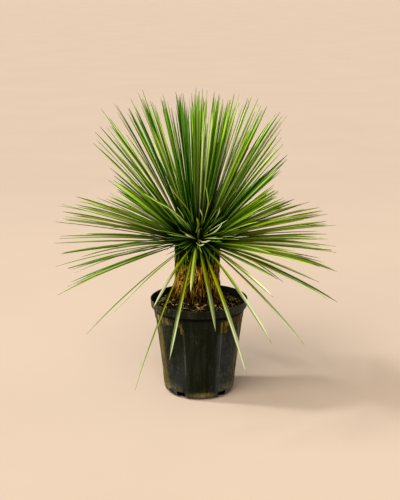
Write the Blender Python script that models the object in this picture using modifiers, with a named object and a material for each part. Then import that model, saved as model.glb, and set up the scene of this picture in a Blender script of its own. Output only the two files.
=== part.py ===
"""Potted yucca: a fluted nursery pot, its soil, a short fibrous trunk and stiff pointed leaves.

Metres, +Z up. The origin is on the pot's axis, in the plane that the pot stands on, and -Y is the
front. A leaf's azimuth is counted from the front towards +X.
"""

import math
import random

import bmesh
import bpy
from mathutils import Matrix, Vector

OBJECT_NAME = "potted_yucca"
GAP = 0.0003  # clearance between pieces that touch

# Pot: a thin blown wall with a flared rim band, a round foot and drain notches
POT_HEIGHT = 0.280
POT_WALL = 0.0024
RIM_RADIUS = 0.140
RIM_SKIRT_RADIUS = 0.138
RIM_DEPTH = 0.0225
RIM_HOLLOW_TOP = 0.268  # the rim band is hollow from below up to here
RIM_HOLLOW_NARROWING = 0.0006
WALL_RADIUS_AT_FLOOR = 0.0996  # where the straight wall's line meets the floor plane
WALL_FLARE = 0.1238  # radius gained per metre of height
FOOT_ROUND = 0.020
FOOT_ARC_STEPS = 3
FLUTES = 7
STEPS_PER_FLUTE = 8
POT_STEPS = FLUTES * STEPS_PER_FLUTE
FIRST_FLUTE = math.radians(20.5)  # azimuth of one flute's middle
FLUTE_DEPTH = 0.003
FLUTE_TOP = 0.226
FLUTE_BOTTOM = 0.055
FLUTE_RUN_OUT = 0.030  # height over which a flute fades into the foot
FLUTE_SHOULDER = 0.010  # height of the step at its upper end
NOTCHES = 5
FIRST_NOTCH = math.radians(40.5)
NOTCH_WIDTH = 0.027
NOTCH_HEIGHT = 0.0205
NOTCH_REACH = 0.0226  # how far a notch's cutter runs in from its outer end
NOTCH_OVERSHOOT = 0.003  # how far that outer end stands clear of the foot

# Soil: fills the pot to below the rim and rises a little towards the trunk
SOIL_EDGE_Z = 0.256
SOIL_MOUND_Z = 0.283
SOIL_MOUND_RADIUS = 0.070

# Trunk: a short stump, rooted in the soil, under the rounded head that the leaves grow from
PLANT_X = -0.005  # the plant stands a little left of the pot's axis
TRUNK_STEPS = 28
TRUNK_PROFILE = (  # radius and height, from the root end up to the head
    (0.034, 0.190),
    (0.052, 0.206),
    (0.066, 0.240),
    (0.072, 0.268),
    (0.066, 0.298),
    (0.062, 0.335),
    (0.0605, 0.385),
)
HEAD_RADIUS = 0.061
HEAD_LOW_Z = 0.430
HEAD_TOP_Z = 0.480
HEAD_CROWN_STEPS = 5
HEAD_FLATTENING = 0.93  # how much of the head's radius is lost from its widest ring to its top

# Leaves: a golden-angle spiral up the head, and below it the old leaves, which droop
LEAF_COUNT = 372
MODELLED_EVERY = 12  # each twelfth leaf of the spiral is a solid
GOLDEN_ANGLE = math.pi * (3.0 - math.sqrt(5.0))
SPIRAL_LOWEST = math.radians(-20.0)
SPIRAL_HIGHEST = math.radians(88.0)
HEAD_LOWEST = math.radians(-50.0)  # elevation of a leaf that grows from the head's lowest ring
SCATTER_AZIMUTH = math.radians(6.0)
SCATTER_ELEVATION = math.radians(5.0)
SCATTER_ROLL = math.radians(50.0)
FRONT_CLEARING = math.radians(50.0)  # the spiral leaves this sector to the drooping leaves
CLEARING_BELOW = math.radians(-6.0)
REACH = 0.388  # length of an upright leaf
REACH_LOST_SIDEWAYS = 0.062
REACH_LOST_AT_WAIST = 0.125
WAIST_ELEVATION = math.radians(33.0)
WAIST_SPREAD = math.radians(15.5)
WAIST_SKEW = 0.15  # how much wider the waist is on the right, and narrower on the left
REACH_RANGE = (0.93, 1.04)
SAG_UPRIGHT = math.radians(3.0)
SAG_SIDEWAYS = math.radians(8.0)  # more for a leaf that stands out sideways
SAG_RANGE = (0.3, 1.3)
LEAF_HALF_WIDTH = 0.0038
DROOPING_BREADTH = 1.28  # how much broader the drooping leaves are
LEAF_BREADTH_RANGE = (0.85, 1.15)
LEAF_THICKNESS = 0.0016
LEAF_KEEL = 0.0008  # depth of the shallow channel along the upper face
LEAF_BASE_SHARE = 0.60  # width at the base, as a share of the widest
LEAF_WIDEST = 0.50  # where the leaf is widest, as a share of its length
LEAF_TAPER_POWER = 2.6
LEAF_TIP_SHARE = 0.10
LEAF_ROOT = 0.012  # length started inside the head and cut away again
LEAF_ROWS = 6
SEED = 1000

# Old leaves: azimuth and elevation in degrees, length in metres, and breadth as a share of usual
DROOPING_LEAVES = (
    (-25, -44, 0.44, 0.80),
    (-10, -31, 0.40, 1.05),
    (-15, -12, 0.36, 0.95),
    (-2, -6, 0.34, 1.10),
    (7, -22, 0.36, 1.20),
    (18, -35, 0.43, 1.05),
    (26, -24, 0.41, 0.95),
    (-39, -22, 0.42, 0.80),
    (-30, -15, 0.37, 0.85),
    (40, -27, 0.42, 0.75),
    (30, -11, 0.34, 0.85),
    (-78, -9, 0.35, 0.85),
    (-68, -18, 0.37, 0.90),
    (-52, -9, 0.38, 0.80),
    (74, -10, 0.35, 1.00),
    (67, -20, 0.38, 0.95),
    (49, -12, 0.40, 0.85),
    (108, -18, 0.38, 1.00),
    (-115, -22, 0.38, 0.90),
    (138, -31, 0.40, 1.00),
    (-145, -12, 0.37, 0.95),
    (178, -24, 0.40, 1.05),
    (-168, -38, 0.42, 0.90),
)
DROOP_SAG = math.radians(12.0)


def clear_scene():
    """Remove every object that the file opened with."""
    for item in list(bpy.data.objects):
        bpy.data.objects.remove(item, do_unlink=True)


def make_collection(name):
    """Make a collection under the scene."""
    collection = bpy.data.collections.new(name)
    bpy.context.scene.collection.children.link(collection)
    return collection


def make_material(name, colour, roughness, metallic=0.0):
    """Make a Principled material of one colour."""
    material = bpy.data.materials.new(name)
    material.use_nodes = True
    shader = material.node_tree.nodes["Principled BSDF"]
    shader.inputs["Base Color"].default_value = (*colour, 1.0)
    shader.inputs["Roughness"].default_value = roughness
    shader.inputs["Metallic"].default_value = metallic
    return material


def place(name, mesh, collection, material):
    """Make an object of a mesh, with a material and smooth round sides."""
    thing = bpy.data.objects.new(name, mesh)
    mesh.materials.append(material)
    mesh.shade_smooth()
    mesh.set_sharp_from_angle(angle=math.radians(40.0))
    collection.objects.link(thing)
    return thing


def hide_cutter(thing):
    """Show a cutter as a wire only."""
    thing.hide_render = True
    thing.display_type = "WIRE"


def turned_mesh(name, profile, steps):
    """Turn a profile about Z. It starts and ends on the axis and runs down the outer side."""
    outline = bpy.data.meshes.new(name + "_profile")
    edges = [(index, index + 1) for index in range(len(profile) - 1)]
    outline.from_pydata([(radius, 0.0, height) for radius, height in profile], edges, [])
    lathe = bpy.data.objects.new(name + "_profile", outline)
    bpy.context.scene.collection.objects.link(lathe)
    screw = lathe.modifiers.new("turn", "SCREW")
    screw.steps = steps
    screw.render_steps = steps
    screw.use_merge_vertices = True
    screw.merge_threshold = 0.00001
    evaluated = lathe.evaluated_get(bpy.context.evaluated_depsgraph_get())
    mesh = bpy.data.meshes.new_from_object(evaluated)
    mesh.name = name
    bpy.data.objects.remove(lathe, do_unlink=True)
    bpy.data.meshes.remove(outline)
    return mesh


def from_front(azimuth):
    """Unit vector on the floor at an azimuth from the front."""
    return Vector((math.sin(azimuth), -math.cos(azimuth), 0.0))


def cut(thing, cutter):
    """Take a cutter's shape out of an object."""
    boolean = thing.modifiers.new("cut", "BOOLEAN")
    boolean.operation = "DIFFERENCE"
    boolean.object = cutter


# ---- Pot and soil -------------------------------------------------------------------------


def wall_radius(height):
    """Outer radius of the straight wall."""
    return WALL_RADIUS_AT_FLOOR + WALL_FLARE * height


def pot_side(inset):
    """Side of the pot from under the rim down to the axis, moved inwards by inset."""
    lean = math.atan(WALL_FLARE)
    foot_radius = wall_radius(FOOT_ROUND) - FOOT_ROUND / math.cos(lean)
    heights = (
        POT_HEIGHT - RIM_DEPTH,
        FLUTE_TOP,
        FLUTE_TOP - FLUTE_SHOULDER,
        FLUTE_BOTTOM + FLUTE_RUN_OUT,
        FLUTE_BOTTOM,
    )
    side = [(wall_radius(height) - inset, height) for height in heights]
    for step in range(FOOT_ARC_STEPS + 1):
        turn = -lean - (math.pi / 2.0 - lean) * step / FOOT_ARC_STEPS
        radius = foot_radius + (FOOT_ROUND - inset) * math.cos(turn)
        height = FOOT_ROUND + (FOOT_ROUND - inset) * math.sin(turn)
        side.append((radius, height))
    side.append((0.0, inset))
    return side


def split_quads(mesh):
    """Split bent faces the same way on the pot's inner side and on the soil against it."""
    bm = bmesh.new()
    bm.from_mesh(mesh)
    bmesh.ops.triangulate(bm, faces=bm.faces[:], quad_method="SHORT_EDGE")
    bm.to_mesh(mesh)
    bm.free()


def press_flutes(mesh):
    """Turn the pattern to the first flute and press the flutes into the side."""
    mesh.transform(Matrix.Rotation(FIRST_FLUTE - math.pi / 2.0, 4, "Z"))
    spacing = 2.0 * math.pi / FLUTES
    step = spacing / STEPS_PER_FLUTE
    for vertex in mesh.vertices:
        azimuth = math.atan2(vertex.co.x, -vertex.co.y) - FIRST_FLUTE
        aside = abs((azimuth + spacing / 2.0) % spacing - spacing / 2.0)
        across = min(max(2.0 - aside / step, 0.0), 1.0)
        above = (FLUTE_TOP - vertex.co.z) / FLUTE_SHOULDER
        below = (vertex.co.z - FLUTE_BOTTOM) / FLUTE_RUN_OUT
        along = min(max(min(above, below), 0.0), 1.0)
        if along > 0.0:
            radius = math.hypot(vertex.co.x, vertex.co.y)
            shrink = 1.0 - FLUTE_DEPTH * across * along / radius
            vertex.co.x *= shrink
            vertex.co.y *= shrink
    split_quads(mesh)


def make_notch_cutters(collection):
    """Boxes at the pot's foot, as one cutter."""
    bm = bmesh.new()
    outer = wall_radius(0.0)
    for index in range(NOTCHES):
        azimuth = FIRST_NOTCH + 2.0 * math.pi * index / NOTCHES
        middle = from_front(azimuth) * (outer + NOTCH_OVERSHOOT - NOTCH_REACH / 2.0)
        size = Vector((NOTCH_WIDTH, NOTCH_REACH, 2.0 * NOTCH_HEIGHT))
        turn = Matrix.Rotation(azimuth, 4, "Z")
        shape = Matrix.Translation(middle) @ turn @ Matrix.Diagonal(size).to_4x4()
        bmesh.ops.create_cube(bm, size=1.0, matrix=shape)
    mesh = bpy.data.meshes.new("notch_cutters")
    bm.to_mesh(mesh)
    bm.free()
    cutter = bpy.data.objects.new("notch_cutters", mesh)
    collection.objects.link(cutter)
    hide_cutter(cutter)
    return cutter


def make_pot(parts, cutters):
    """The pot: one thin wall with floor, foot, flutes, rim band and drain notches."""
    inner = pot_side(POT_WALL)
    outer = pot_side(0.0)
    rim_base = POT_HEIGHT - RIM_DEPTH
    hollow = RIM_SKIRT_RADIUS - POT_WALL
    rim = [
        (RIM_RADIUS - POT_WALL, POT_HEIGHT),
        (RIM_RADIUS, POT_HEIGHT),
        (RIM_SKIRT_RADIUS, rim_base),
        (hollow, rim_base),
        (hollow + RIM_HOLLOW_NARROWING, RIM_HOLLOW_TOP),
    ]
    mesh = turned_mesh("pot", inner[::-1] + rim + outer, POT_STEPS)
    press_flutes(mesh)
    plastic = make_material("pot_plastic", (0.022, 0.026, 0.018), 0.5)
    pot = place("pot", mesh, parts, plastic)
    cut(pot, make_notch_cutters(cutters))


def make_soil(parts, trunk_cutter):
    """The soil: it follows the pot's inner side and has the trunk's socket in its middle."""
    side = pot_side(POT_WALL + GAP)[1:]
    edge = (wall_radius(SOIL_EDGE_Z) - POT_WALL - GAP, SOIL_EDGE_Z)
    top = [(0.0, SOIL_MOUND_Z), (SOIL_MOUND_RADIUS, SOIL_MOUND_Z), edge]
    mesh = turned_mesh("soil", top + side, POT_STEPS)
    press_flutes(mesh)
    earth = make_material("soil_mix", (0.045, 0.028, 0.016), 0.95)
    soil = place("soil", mesh, parts, earth)
    cut(soil, trunk_cutter)


# ---- Trunk --------------------------------------------------------------------------------


def head_ring(share):
    """Radius and height of the head, from its lowest ring at 0 to its top at 1."""
    radius = HEAD_RADIUS * math.sqrt(max(0.0, 1.0 - HEAD_FLATTENING * share * share))
    return radius, HEAD_LOW_Z + (HEAD_TOP_Z - HEAD_LOW_Z) * share


def trunk_outline(grown):
    """Trunk and head from the top down to the root end, grown outwards by the given amount."""
    rings = [head_ring(step / HEAD_CROWN_STEPS) for step in range(HEAD_CROWN_STEPS + 1)]
    upwards = list(TRUNK_PROFILE) + rings
    outline = [(radius + grown, height) for radius, height in reversed(upwards)]
    top_height = outline[0][1] + grown
    root_height = outline[-1][1] - grown
    outline[0] = (outline[0][0], top_height)
    outline[-1] = (outline[-1][0], root_height)
    return [(0.0, top_height)] + outline + [(0.0, root_height)]


def make_trunk(parts):
    """The trunk with its rounded head."""
    mesh = turned_mesh("trunk", trunk_outline(0.0), TRUNK_STEPS)
    mesh.transform(Matrix.Translation((PLANT_X, 0.0, 0.0)))
    bark = make_material("trunk_fibre", (0.17, 0.10, 0.042), 0.85)
    place("trunk", mesh, parts, bark)


def make_trunk_cutter(cutters):
    """The trunk's shape with the clearance that soil and leaves keep to it."""
    mesh = turned_mesh("trunk_cutter", trunk_outline(GAP), TRUNK_STEPS)
    mesh.transform(Matrix.Translation((PLANT_X, 0.0, 0.0)))
    cutter = bpy.data.objects.new("trunk_cutter", mesh)
    cutters.objects.link(cutter)
    hide_cutter(cutter)
    return cutter


# ---- Leaves -------------------------------------------------------------------------------


def spiral_leaf(index):
    """Azimuth, elevation, length, sag, roll and breadth of one leaf of the spiral."""
    chance = random.Random(SEED + index)
    rise = index / (LEAF_COUNT - 1)
    azimuth = index * GOLDEN_ANGLE + chance.uniform(-SCATTER_AZIMUTH, SCATTER_AZIMUTH)
    azimuth = (azimuth + math.pi) % (2.0 * math.pi) - math.pi
    elevation = SPIRAL_LOWEST + (SPIRAL_HIGHEST - SPIRAL_LOWEST) * rise
    elevation += chance.uniform(-SCATTER_ELEVATION, SCATTER_ELEVATION)
    elevation = min(elevation, SPIRAL_HIGHEST)
    sideways = math.cos(elevation)
    spread = WAIST_SPREAD * (1.0 + WAIST_SKEW * math.sin(azimuth))
    waist = math.exp(-((abs(elevation - WAIST_ELEVATION) / spread) ** 3))
    length = REACH - REACH_LOST_SIDEWAYS * sideways**3 - REACH_LOST_AT_WAIST * waist
    length *= chance.uniform(*REACH_RANGE)
    sag = SAG_UPRIGHT + SAG_SIDEWAYS * sideways * chance.uniform(*SAG_RANGE)
    roll = chance.uniform(-SCATTER_ROLL, SCATTER_ROLL)
    return azimuth, elevation, length, sag, roll, chance.uniform(*LEAF_BREADTH_RANGE)


def in_clearing(azimuth, elevation):
    """Whether a leaf would stand among the drooping leaves at the front."""
    return elevation < CLEARING_BELOW and abs(azimuth) < FRONT_CLEARING


def leaf_width(along):
    """Half width of a leaf at a share of its length, from base to tip."""
    swell = math.sin(math.pi / 2.0 * min(1.0, along / LEAF_WIDEST))
    taper = max(0.0, (along - LEAF_WIDEST) / (1.0 - LEAF_WIDEST)) ** LEAF_TAPER_POWER
    share = LEAF_BASE_SHARE + (1.0 - LEAF_BASE_SHARE) * swell
    return LEAF_HALF_WIDTH * max(LEAF_TIP_SHARE, share * (1.0 - taper))


def leaf_frames(azimuth, elevation, length, sag, roll, rows):
    """Middle, side and upper directions of a leaf at each row from base to tip."""
    share = min(max((elevation - HEAD_LOWEST) / (SPIRAL_HIGHEST - HEAD_LOWEST), 0.0), 1.0)
    radius, height = head_ring(share)
    outwards = from_front(azimuth)
    start = Vector((PLANT_X, 0.0, height)) + outwards * radius
    first = elevation + sag / 2.0
    start -= (outwards * math.cos(first) + Vector((0.0, 0.0, math.sin(first)))) * LEAF_ROOT
    frames = []
    step = (length + LEAF_ROOT) / rows
    for row in range(rows + 1):
        slope = elevation + sag * (0.5 - row / rows)
        tangent = outwards * math.cos(slope) + Vector((0.0, 0.0, math.sin(slope)))
        level = Vector((-outwards.y, outwards.x, 0.0))
        side = Matrix.Rotation(roll, 3, tangent) @ level
        frames.append((start.copy(), side, side.cross(tangent)))
        start += tangent * step
    return frames


def leaf_mesh(name, frames, breadth):
    """A bent, slightly channelled blade without thickness."""
    bm = bmesh.new()
    rows = len(frames) - 1
    bmesh.ops.create_grid(bm, x_segments=2, y_segments=rows, size=1.0)
    for vertex in bm.verts:
        row = round((vertex.co.y + 1.0) / 2.0 * rows)
        across = vertex.co.x
        middle, side, upper = frames[row]
        half = leaf_width(row / rows) * breadth
        keel = LEAF_KEEL * abs(across) * half / LEAF_HALF_WIDTH
        vertex.co = middle + side * across * half + upper * keel
    mesh = bpy.data.meshes.new(name)
    bm.to_mesh(mesh)
    bm.free()
    return mesh


def make_leaf(name, shape, parts, material, trunk_cutter):
    """One leaf, seated on the head."""
    *course, breadth = shape
    mesh = leaf_mesh(name, leaf_frames(*course, LEAF_ROWS), breadth)
    leaf = place(name, mesh, parts, material)
    body = leaf.modifiers.new("body", "SOLIDIFY")
    body.thickness = LEAF_THICKNESS
    body.offset = 0.0
    cut(leaf, trunk_cutter)


def make_leaves(parts, trunk_cutter):
    """The modelled leaves of the spiral, then the drooping leaves."""
    green = make_material("leaf_green", (0.085, 0.19, 0.025), 0.42)
    pale = make_material("old_leaf_green", (0.20, 0.30, 0.075), 0.45)
    number = 0
    for index in range(0, LEAF_COUNT, MODELLED_EVERY):
        shape = spiral_leaf(index)
        if in_clearing(shape[0], shape[1]):
            continue
        number += 1
        make_leaf(f"leaf_{number:02d}", shape, parts, green, trunk_cutter)
    for index, (azimuth, elevation, length, breadth) in enumerate(DROOPING_LEAVES, 1):
        breadth *= DROOPING_BREADTH
        shape = (math.radians(azimuth), math.radians(elevation), length, DROOP_SAG, 0.0, breadth)
        make_leaf(f"drooping_leaf_{index:02d}", shape, parts, pale, trunk_cutter)


def main():
    """Build the pot, the soil, the trunk and the leaves."""
    clear_scene()
    parts = make_collection(OBJECT_NAME)
    cutters = make_collection("cutters")
    trunk_cutter = make_trunk_cutter(cutters)
    make_pot(parts, cutters)
    make_soil(parts, trunk_cutter)
    make_trunk(parts)
    make_leaves(parts, trunk_cutter)


main()
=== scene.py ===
"""Potted yucca: finished surfaces for the packed plant, its soil and its fluted nursery pot.

Metres, +Z up, in the packed model's frame: the origin is on the pot's axis in the plane that the pot
stands on, and -Y is the front. A leaf's azimuth is counted from the front towards +X.
"""

import math
import random

import bmesh
import bpy
from mathutils import Matrix, Vector, noise


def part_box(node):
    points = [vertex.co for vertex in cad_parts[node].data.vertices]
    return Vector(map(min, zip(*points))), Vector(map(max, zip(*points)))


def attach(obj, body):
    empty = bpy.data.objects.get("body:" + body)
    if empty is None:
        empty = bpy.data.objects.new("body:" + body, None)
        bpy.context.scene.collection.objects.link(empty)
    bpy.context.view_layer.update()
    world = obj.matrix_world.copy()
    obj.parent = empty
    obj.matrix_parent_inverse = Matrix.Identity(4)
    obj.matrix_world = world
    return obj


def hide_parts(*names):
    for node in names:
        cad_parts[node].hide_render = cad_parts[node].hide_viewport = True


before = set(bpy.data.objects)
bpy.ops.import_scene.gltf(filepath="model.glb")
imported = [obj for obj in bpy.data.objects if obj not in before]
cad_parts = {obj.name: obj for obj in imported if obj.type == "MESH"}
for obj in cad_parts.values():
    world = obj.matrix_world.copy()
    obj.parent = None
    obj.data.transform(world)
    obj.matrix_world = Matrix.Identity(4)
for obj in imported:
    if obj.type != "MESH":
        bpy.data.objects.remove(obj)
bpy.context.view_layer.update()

bl_info = {
    "name": "Potted Yucca",
    "version": (1, 0, 0),
    "blender": (4, 5, 0),
    "location": "3D View > Sidebar > Yucca",
    "description": "Builds the leaves, trunk, soil and nursery pot of a potted yucca",
    "category": "Add Mesh",
}

BODY = "root"
BAKE_MAP = "OFBake"
FULL_TURN = 2.0 * math.pi
UP = Vector((0.0, 0.0, 1.0))
WHOLE_MAP = (0.0, 0.0, 1.0, 1.0)  # left, low, right and high limits of the bake map
POLE_RADIUS = 0.001  # of the small ring that closes the middle of a turned body


def widest(node):
    """Largest distance of a packed node's points from the pot's axis."""
    return max(math.hypot(*vertex.co.xy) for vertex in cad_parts[node].data.vertices)


# Places read from the packed model
POT_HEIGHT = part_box("pot")[1].z
RIM_RADIUS = widest("pot")
TRUNK_LOW, TRUNK_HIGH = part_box("trunk")
PLANT_X = (TRUNK_LOW.x + TRUNK_HIGH.x) / 2.0
PLANT_AXIS = Vector((PLANT_X, 0.0, 0.0))
ROOT_RADIUS = (TRUNK_HIGH.x - TRUNK_LOW.x) / 2.0
HEAD_TOP_Z = TRUNK_HIGH.z

# The pot's wall, as the packed pot has it
WALL_RADIUS_AT_FLOOR = 0.0996
WALL_FLARE = 0.1238
FOOT_ROUND = 0.020
FIRST_FLUTE = math.radians(20.5)
FLUTE_FLAT = math.radians(7.8)  # half of a flute's flat
FLUTE_EDGE = math.radians(10.8)  # half of a flute, out to its edges
FLUTE_TOP = 0.226
FLUTE_BOTTOM = 0.055
FLUTE_RUN_OUT = 0.030
FLUTE_SHOULDER = 0.007  # height over which a flute ends under the ledge
LEDGE_Z = FLUTE_TOP + 0.0012
RIM_SKIRT_RADIUS = 0.138
RIM_BAND_END = 0.001  # height left plain under the lowest rim ridge
RIM_HOLLOW_TOP = 0.268  # the rim band is hollow from below up to here
UNDERSIDE_Z = 0.0015  # the middle of the floor stands this far off the ground
NOTCHES = 5
FIRST_NOTCH = math.radians(40.5)
NOTCH_INNER = 0.080  # how far from the axis a notch ends
NOTCH_OVERSHOOT = 0.003  # how far a notch's cutter stands clear of the foot

# The soil's surface
MOUND_RADIUS = 0.072  # where it starts to fall away from the trunk
SOIL_RADIUS = 0.129
SOIL_GAP = 0.0003  # clearance that the soil keeps
SOIL_STEPS = 168  # facets round the soil

# The trunk and the head, as the packed trunk has them
TRUNK_PROFILE = (  # radius and height, from the root end up to the head
    (0.034, 0.190),
    (0.052, 0.206),
    (0.066, 0.240),
    (0.072, 0.268),
    (0.066, 0.298),
    (0.062, 0.335),
    (0.0605, 0.385),
)
TRUNK_FOOT_Z = TRUNK_PROFILE[0][1]
HEAD_RADIUS = 0.061
HEAD_LOW_Z = 0.430
HEAD_FLATTENING = 0.93
TRUNK_STEPS = 144  # facets round the trunk

# The leaf spiral, as the packed leaves follow it
LEAF_COUNT = 372
MODELLED_EVERY = 12
GOLDEN_ANGLE = math.pi * (3.0 - math.sqrt(5.0))
SPIRAL_LOWEST = math.radians(-20.0)
SPIRAL_HIGHEST = math.radians(88.0)
HEAD_LOWEST = math.radians(-50.0)
SCATTER_AZIMUTH = math.radians(6.0)
SCATTER_ELEVATION = math.radians(5.0)
SCATTER_ROLL = math.radians(50.0)
FRONT_CLEARING = math.radians(50.0)
CLEARING_BELOW = math.radians(-6.0)
HEART_ELEVATION = math.radians(28.0)
HEART_Z = 0.466
TUFT = math.radians(5.6)  # angle from one tuft of leaves to the next
HEART_OPENING = math.radians(34.0)  # angle from the heart's middle that the tiers' leaves keep clear
REACH = 0.388
REACH_LOST_SIDEWAYS = 0.062
REACH_LOST_AT_WAIST = 0.125
WAIST_ELEVATION = math.radians(33.0)
WAIST_SPREAD = math.radians(15.5)
WAIST_SKEW = 0.15
REACH_RANGE = (0.93, 1.04)
SAG_UPRIGHT = math.radians(3.0)
SAG_SIDEWAYS = math.radians(8.0)
SAG_RANGE = (0.3, 1.3)
LEAF_BREADTH_RANGE = (0.85, 1.15)
LEAF_WIDEST = 0.50
LEAF_ROOT = 0.012
LEAF_ROWS = 6  # rows of a packed leaf, which set its course
THINNEST_HALF_WIDTH = 0.00045
THINNEST_LEAF = 0.0004
SMOOTH_BLADE = 50.0  # degrees up to which a blade's faces shade as one

# Seeds of the random draws, so that each run gives the same plant
SEED = 1000  # the packed leaves
LOOK_SEED = 2000
DROOPING_SEED = 3000
BETWEEN_SEED = 5000
BARK_SEED = 6000
ROOTLET_SEED = 7000
THINNING_SEED = 7000
STRIP_SEED = 8000
FIBRE_SEED = 9000
STUB_SEED = 10000
YOUNG_SEED = 10500
HEART_SEED = 10700
TUFT_SEED = 11000

# The stage
FLOOR_STEPS = 96
FLOOR_INNER_RADIUS = 3.0  # ring of points that keeps the floor's faces small near the pot
KEY_SPREAD = 8.0  # angular width of the main light, in degrees
FILL_SPREAD = 60.0
CAMERA_PLACE = (0.003, -3.0, 1.205)
CAMERA_PITCH = 14.64  # degrees that the camera looks down
CAMERA_LENS = 78.05  # millimetres, on a sensor 36 mm wide

# Old leaves: azimuth and elevation in degrees, length in metres, and breadth as a share of usual
DROOPING_LEAVES = (
    (-25, -44, 0.44, 0.80),
    (-10, -31, 0.40, 1.05),
    (-15, -12, 0.36, 0.95),
    (-2, -6, 0.34, 1.10),
    (7, -22, 0.36, 1.20),
    (18, -35, 0.43, 1.05),
    (26, -24, 0.41, 0.95),
    (-39, -22, 0.42, 0.80),
    (-30, -15, 0.37, 0.85),
    (40, -27, 0.42, 0.75),
    (30, -11, 0.34, 0.85),
    (-78, -9, 0.35, 0.85),
    (-68, -18, 0.37, 0.90),
    (-52, -9, 0.38, 0.80),
    (74, -10, 0.35, 1.00),
    (67, -20, 0.38, 0.95),
    (49, -12, 0.40, 0.85),
    (108, -18, 0.38, 1.00),
    (-115, -22, 0.38, 0.90),
    (138, -31, 0.40, 1.00),
    (-145, -12, 0.37, 0.95),
    (178, -24, 0.40, 1.05),
    (-168, -38, 0.42, 0.90),
)
DROOP_SAG = math.radians(12.0)

# Young leaves that curl out of the heart: half width, paleness (partly painted highlight), then points in
# metres from the plant's axis at the foot of the head, as across to the right, towards the front, and up
YOUNG_LEAVES = (
    (0.0032, 1.2, (-0.003, 0.050, 0.036), (-0.018, 0.085, 0.052), (-0.033, 0.102, 0.063)),
    (0.0024, 1.2, (0.002, 0.050, 0.035), (0.017, 0.086, 0.036), (0.037, 0.106, 0.046)),
    (0.0027, 1.2, (-0.003, 0.052, 0.027), (0.008, 0.086, 0.027), (0.020, 0.101, 0.034)),
    (0.0032, 0.5, (-0.004, 0.040, 0.050), (0.004, 0.090, 0.086), (-0.001, 0.108, 0.111)),
    (0.0017, 0.8, (0.010, 0.045, 0.074), (0.015, 0.100, 0.112), (0.007, 0.115, 0.139)),
    (0.0018, 1.1, (0.026, 0.040, 0.061), (0.045, 0.085, 0.090), (0.057, 0.105, 0.119),
     (0.062, 0.120, 0.144)),
    (0.0021, 1.2, (0.015, 0.048, 0.042), (0.042, 0.085, 0.061), (0.059, 0.100, 0.078),
     (0.070, 0.110, 0.097)),
    (0.0028, 0.3, (-0.014, 0.045, 0.056), (-0.038, 0.090, 0.100), (-0.072, 0.120, 0.138),
     (-0.112, 0.140, 0.166), (-0.146, 0.150, 0.190)),
    (0.0026, 0.3, (-0.025, 0.045, 0.056), (-0.046, 0.085, 0.095), (-0.061, 0.100, 0.118),
     (-0.078, 0.115, 0.139)),
    (0.0018, 0.5, (-0.009, 0.045, 0.077), (-0.021, 0.085, 0.120), (-0.038, 0.110, 0.150),
     (-0.058, 0.130, 0.179), (-0.075, 0.145, 0.212)),
    (0.0018, 0.5, (0.016, 0.045, 0.074), (0.025, 0.085, 0.117), (0.031, 0.105, 0.149),
     (0.028, 0.120, 0.182), (0.022, 0.130, 0.208)),
)


# ---- Settings -----------------------------------------------------------------------------


def setting(kind, **fixed):
    """A maker of settings of one kind, which differ in name, description and default."""

    def make(name, description, default):
        return kind(name=name, description=description, default=default, **fixed)

    return make


length_setting = setting(bpy.props.FloatProperty, min=0.0, unit="LENGTH", precision=4)
share_setting = setting(bpy.props.FloatProperty, min=0.0, max=1.0, subtype="FACTOR")
amount_setting = setting(bpy.props.FloatProperty, min=0.0)
angle_setting = setting(bpy.props.FloatProperty, subtype="ANGLE", unit="ROTATION")
count_setting = setting(bpy.props.IntProperty, min=1)
colour_setting = setting(bpy.props.FloatVectorProperty, size=3, min=0.0, max=1.0, subtype="COLOR")


class YuccaPotSettings(bpy.types.PropertyGroup):
    """Sizes and colours of the nursery pot."""

    wall: length_setting("Wall", "Thickness of the pot's wall", 0.0024)
    rim_depth: length_setting("Rim depth", "Height of the flared band under the rim", 0.0225)
    rim_ridges: count_setting("Rim ridges", "Fine ridges round the rim band", 4)
    rim_ridge: length_setting("Rim ridge", "How far a rim ridge stands proud", 0.0010)
    ledge: length_setting("Ledge", "Step in the wall above the flutes", 0.0009)
    flutes: count_setting("Flutes", "Flutes round the wall", 7)
    flute_depth: length_setting("Flute depth", "Depth of a flute at its middle", 0.0034)
    steps: count_setting("Steps", "Facets round the pot", 420)
    notch_width: length_setting("Notch width", "Width of a drain notch", 0.027)
    notch_height: length_setting("Notch height", "Height of a drain notch", 0.0205)
    plastic: colour_setting("Plastic", "Clean moulded plastic", (0.0032, 0.0050, 0.0013))
    # Bluish weathering bloom, also the colour of painted reflection on the flanks and the rim
    bloom: colour_setting("Bloom", "Bluish bloom on weathered plastic", (0.020, 0.027, 0.028))
    algae: colour_setting("Algae", "Olive film of algae", (0.118, 0.098, 0.013))
    dust: colour_setting("Dust", "Dried soil dust and scratches", (0.23, 0.21, 0.13))


class YuccaSoilSettings(bpy.types.PropertyGroup):
    """Sizes and colours of the potting mix."""

    edge_z: length_setting("Edge height", "Height of the soil at the pot's wall", 0.256)
    mound_z: length_setting("Mound height", "Height of the soil at the trunk", 0.283)
    unevenness: length_setting("Unevenness", "Height of the lumps in the surface", 0.004)
    chips: count_setting("Bark chips", "Loose bark chips on the surface", 1700)
    chip_length: length_setting("Chip length", "Length of an average bark chip", 0.0090)
    rootlets: count_setting("Rootlets", "Pale roots and fibres on the surface", 300)
    dark: colour_setting("Dark", "Moist mix in the hollows", (0.0016, 0.0009, 0.0004))
    bark: colour_setting("Bark", "Bark chips", (0.024, 0.016, 0.003))
    pale: colour_setting("Pale", "Dry chips and roots", (0.36, 0.28, 0.09))


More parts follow.
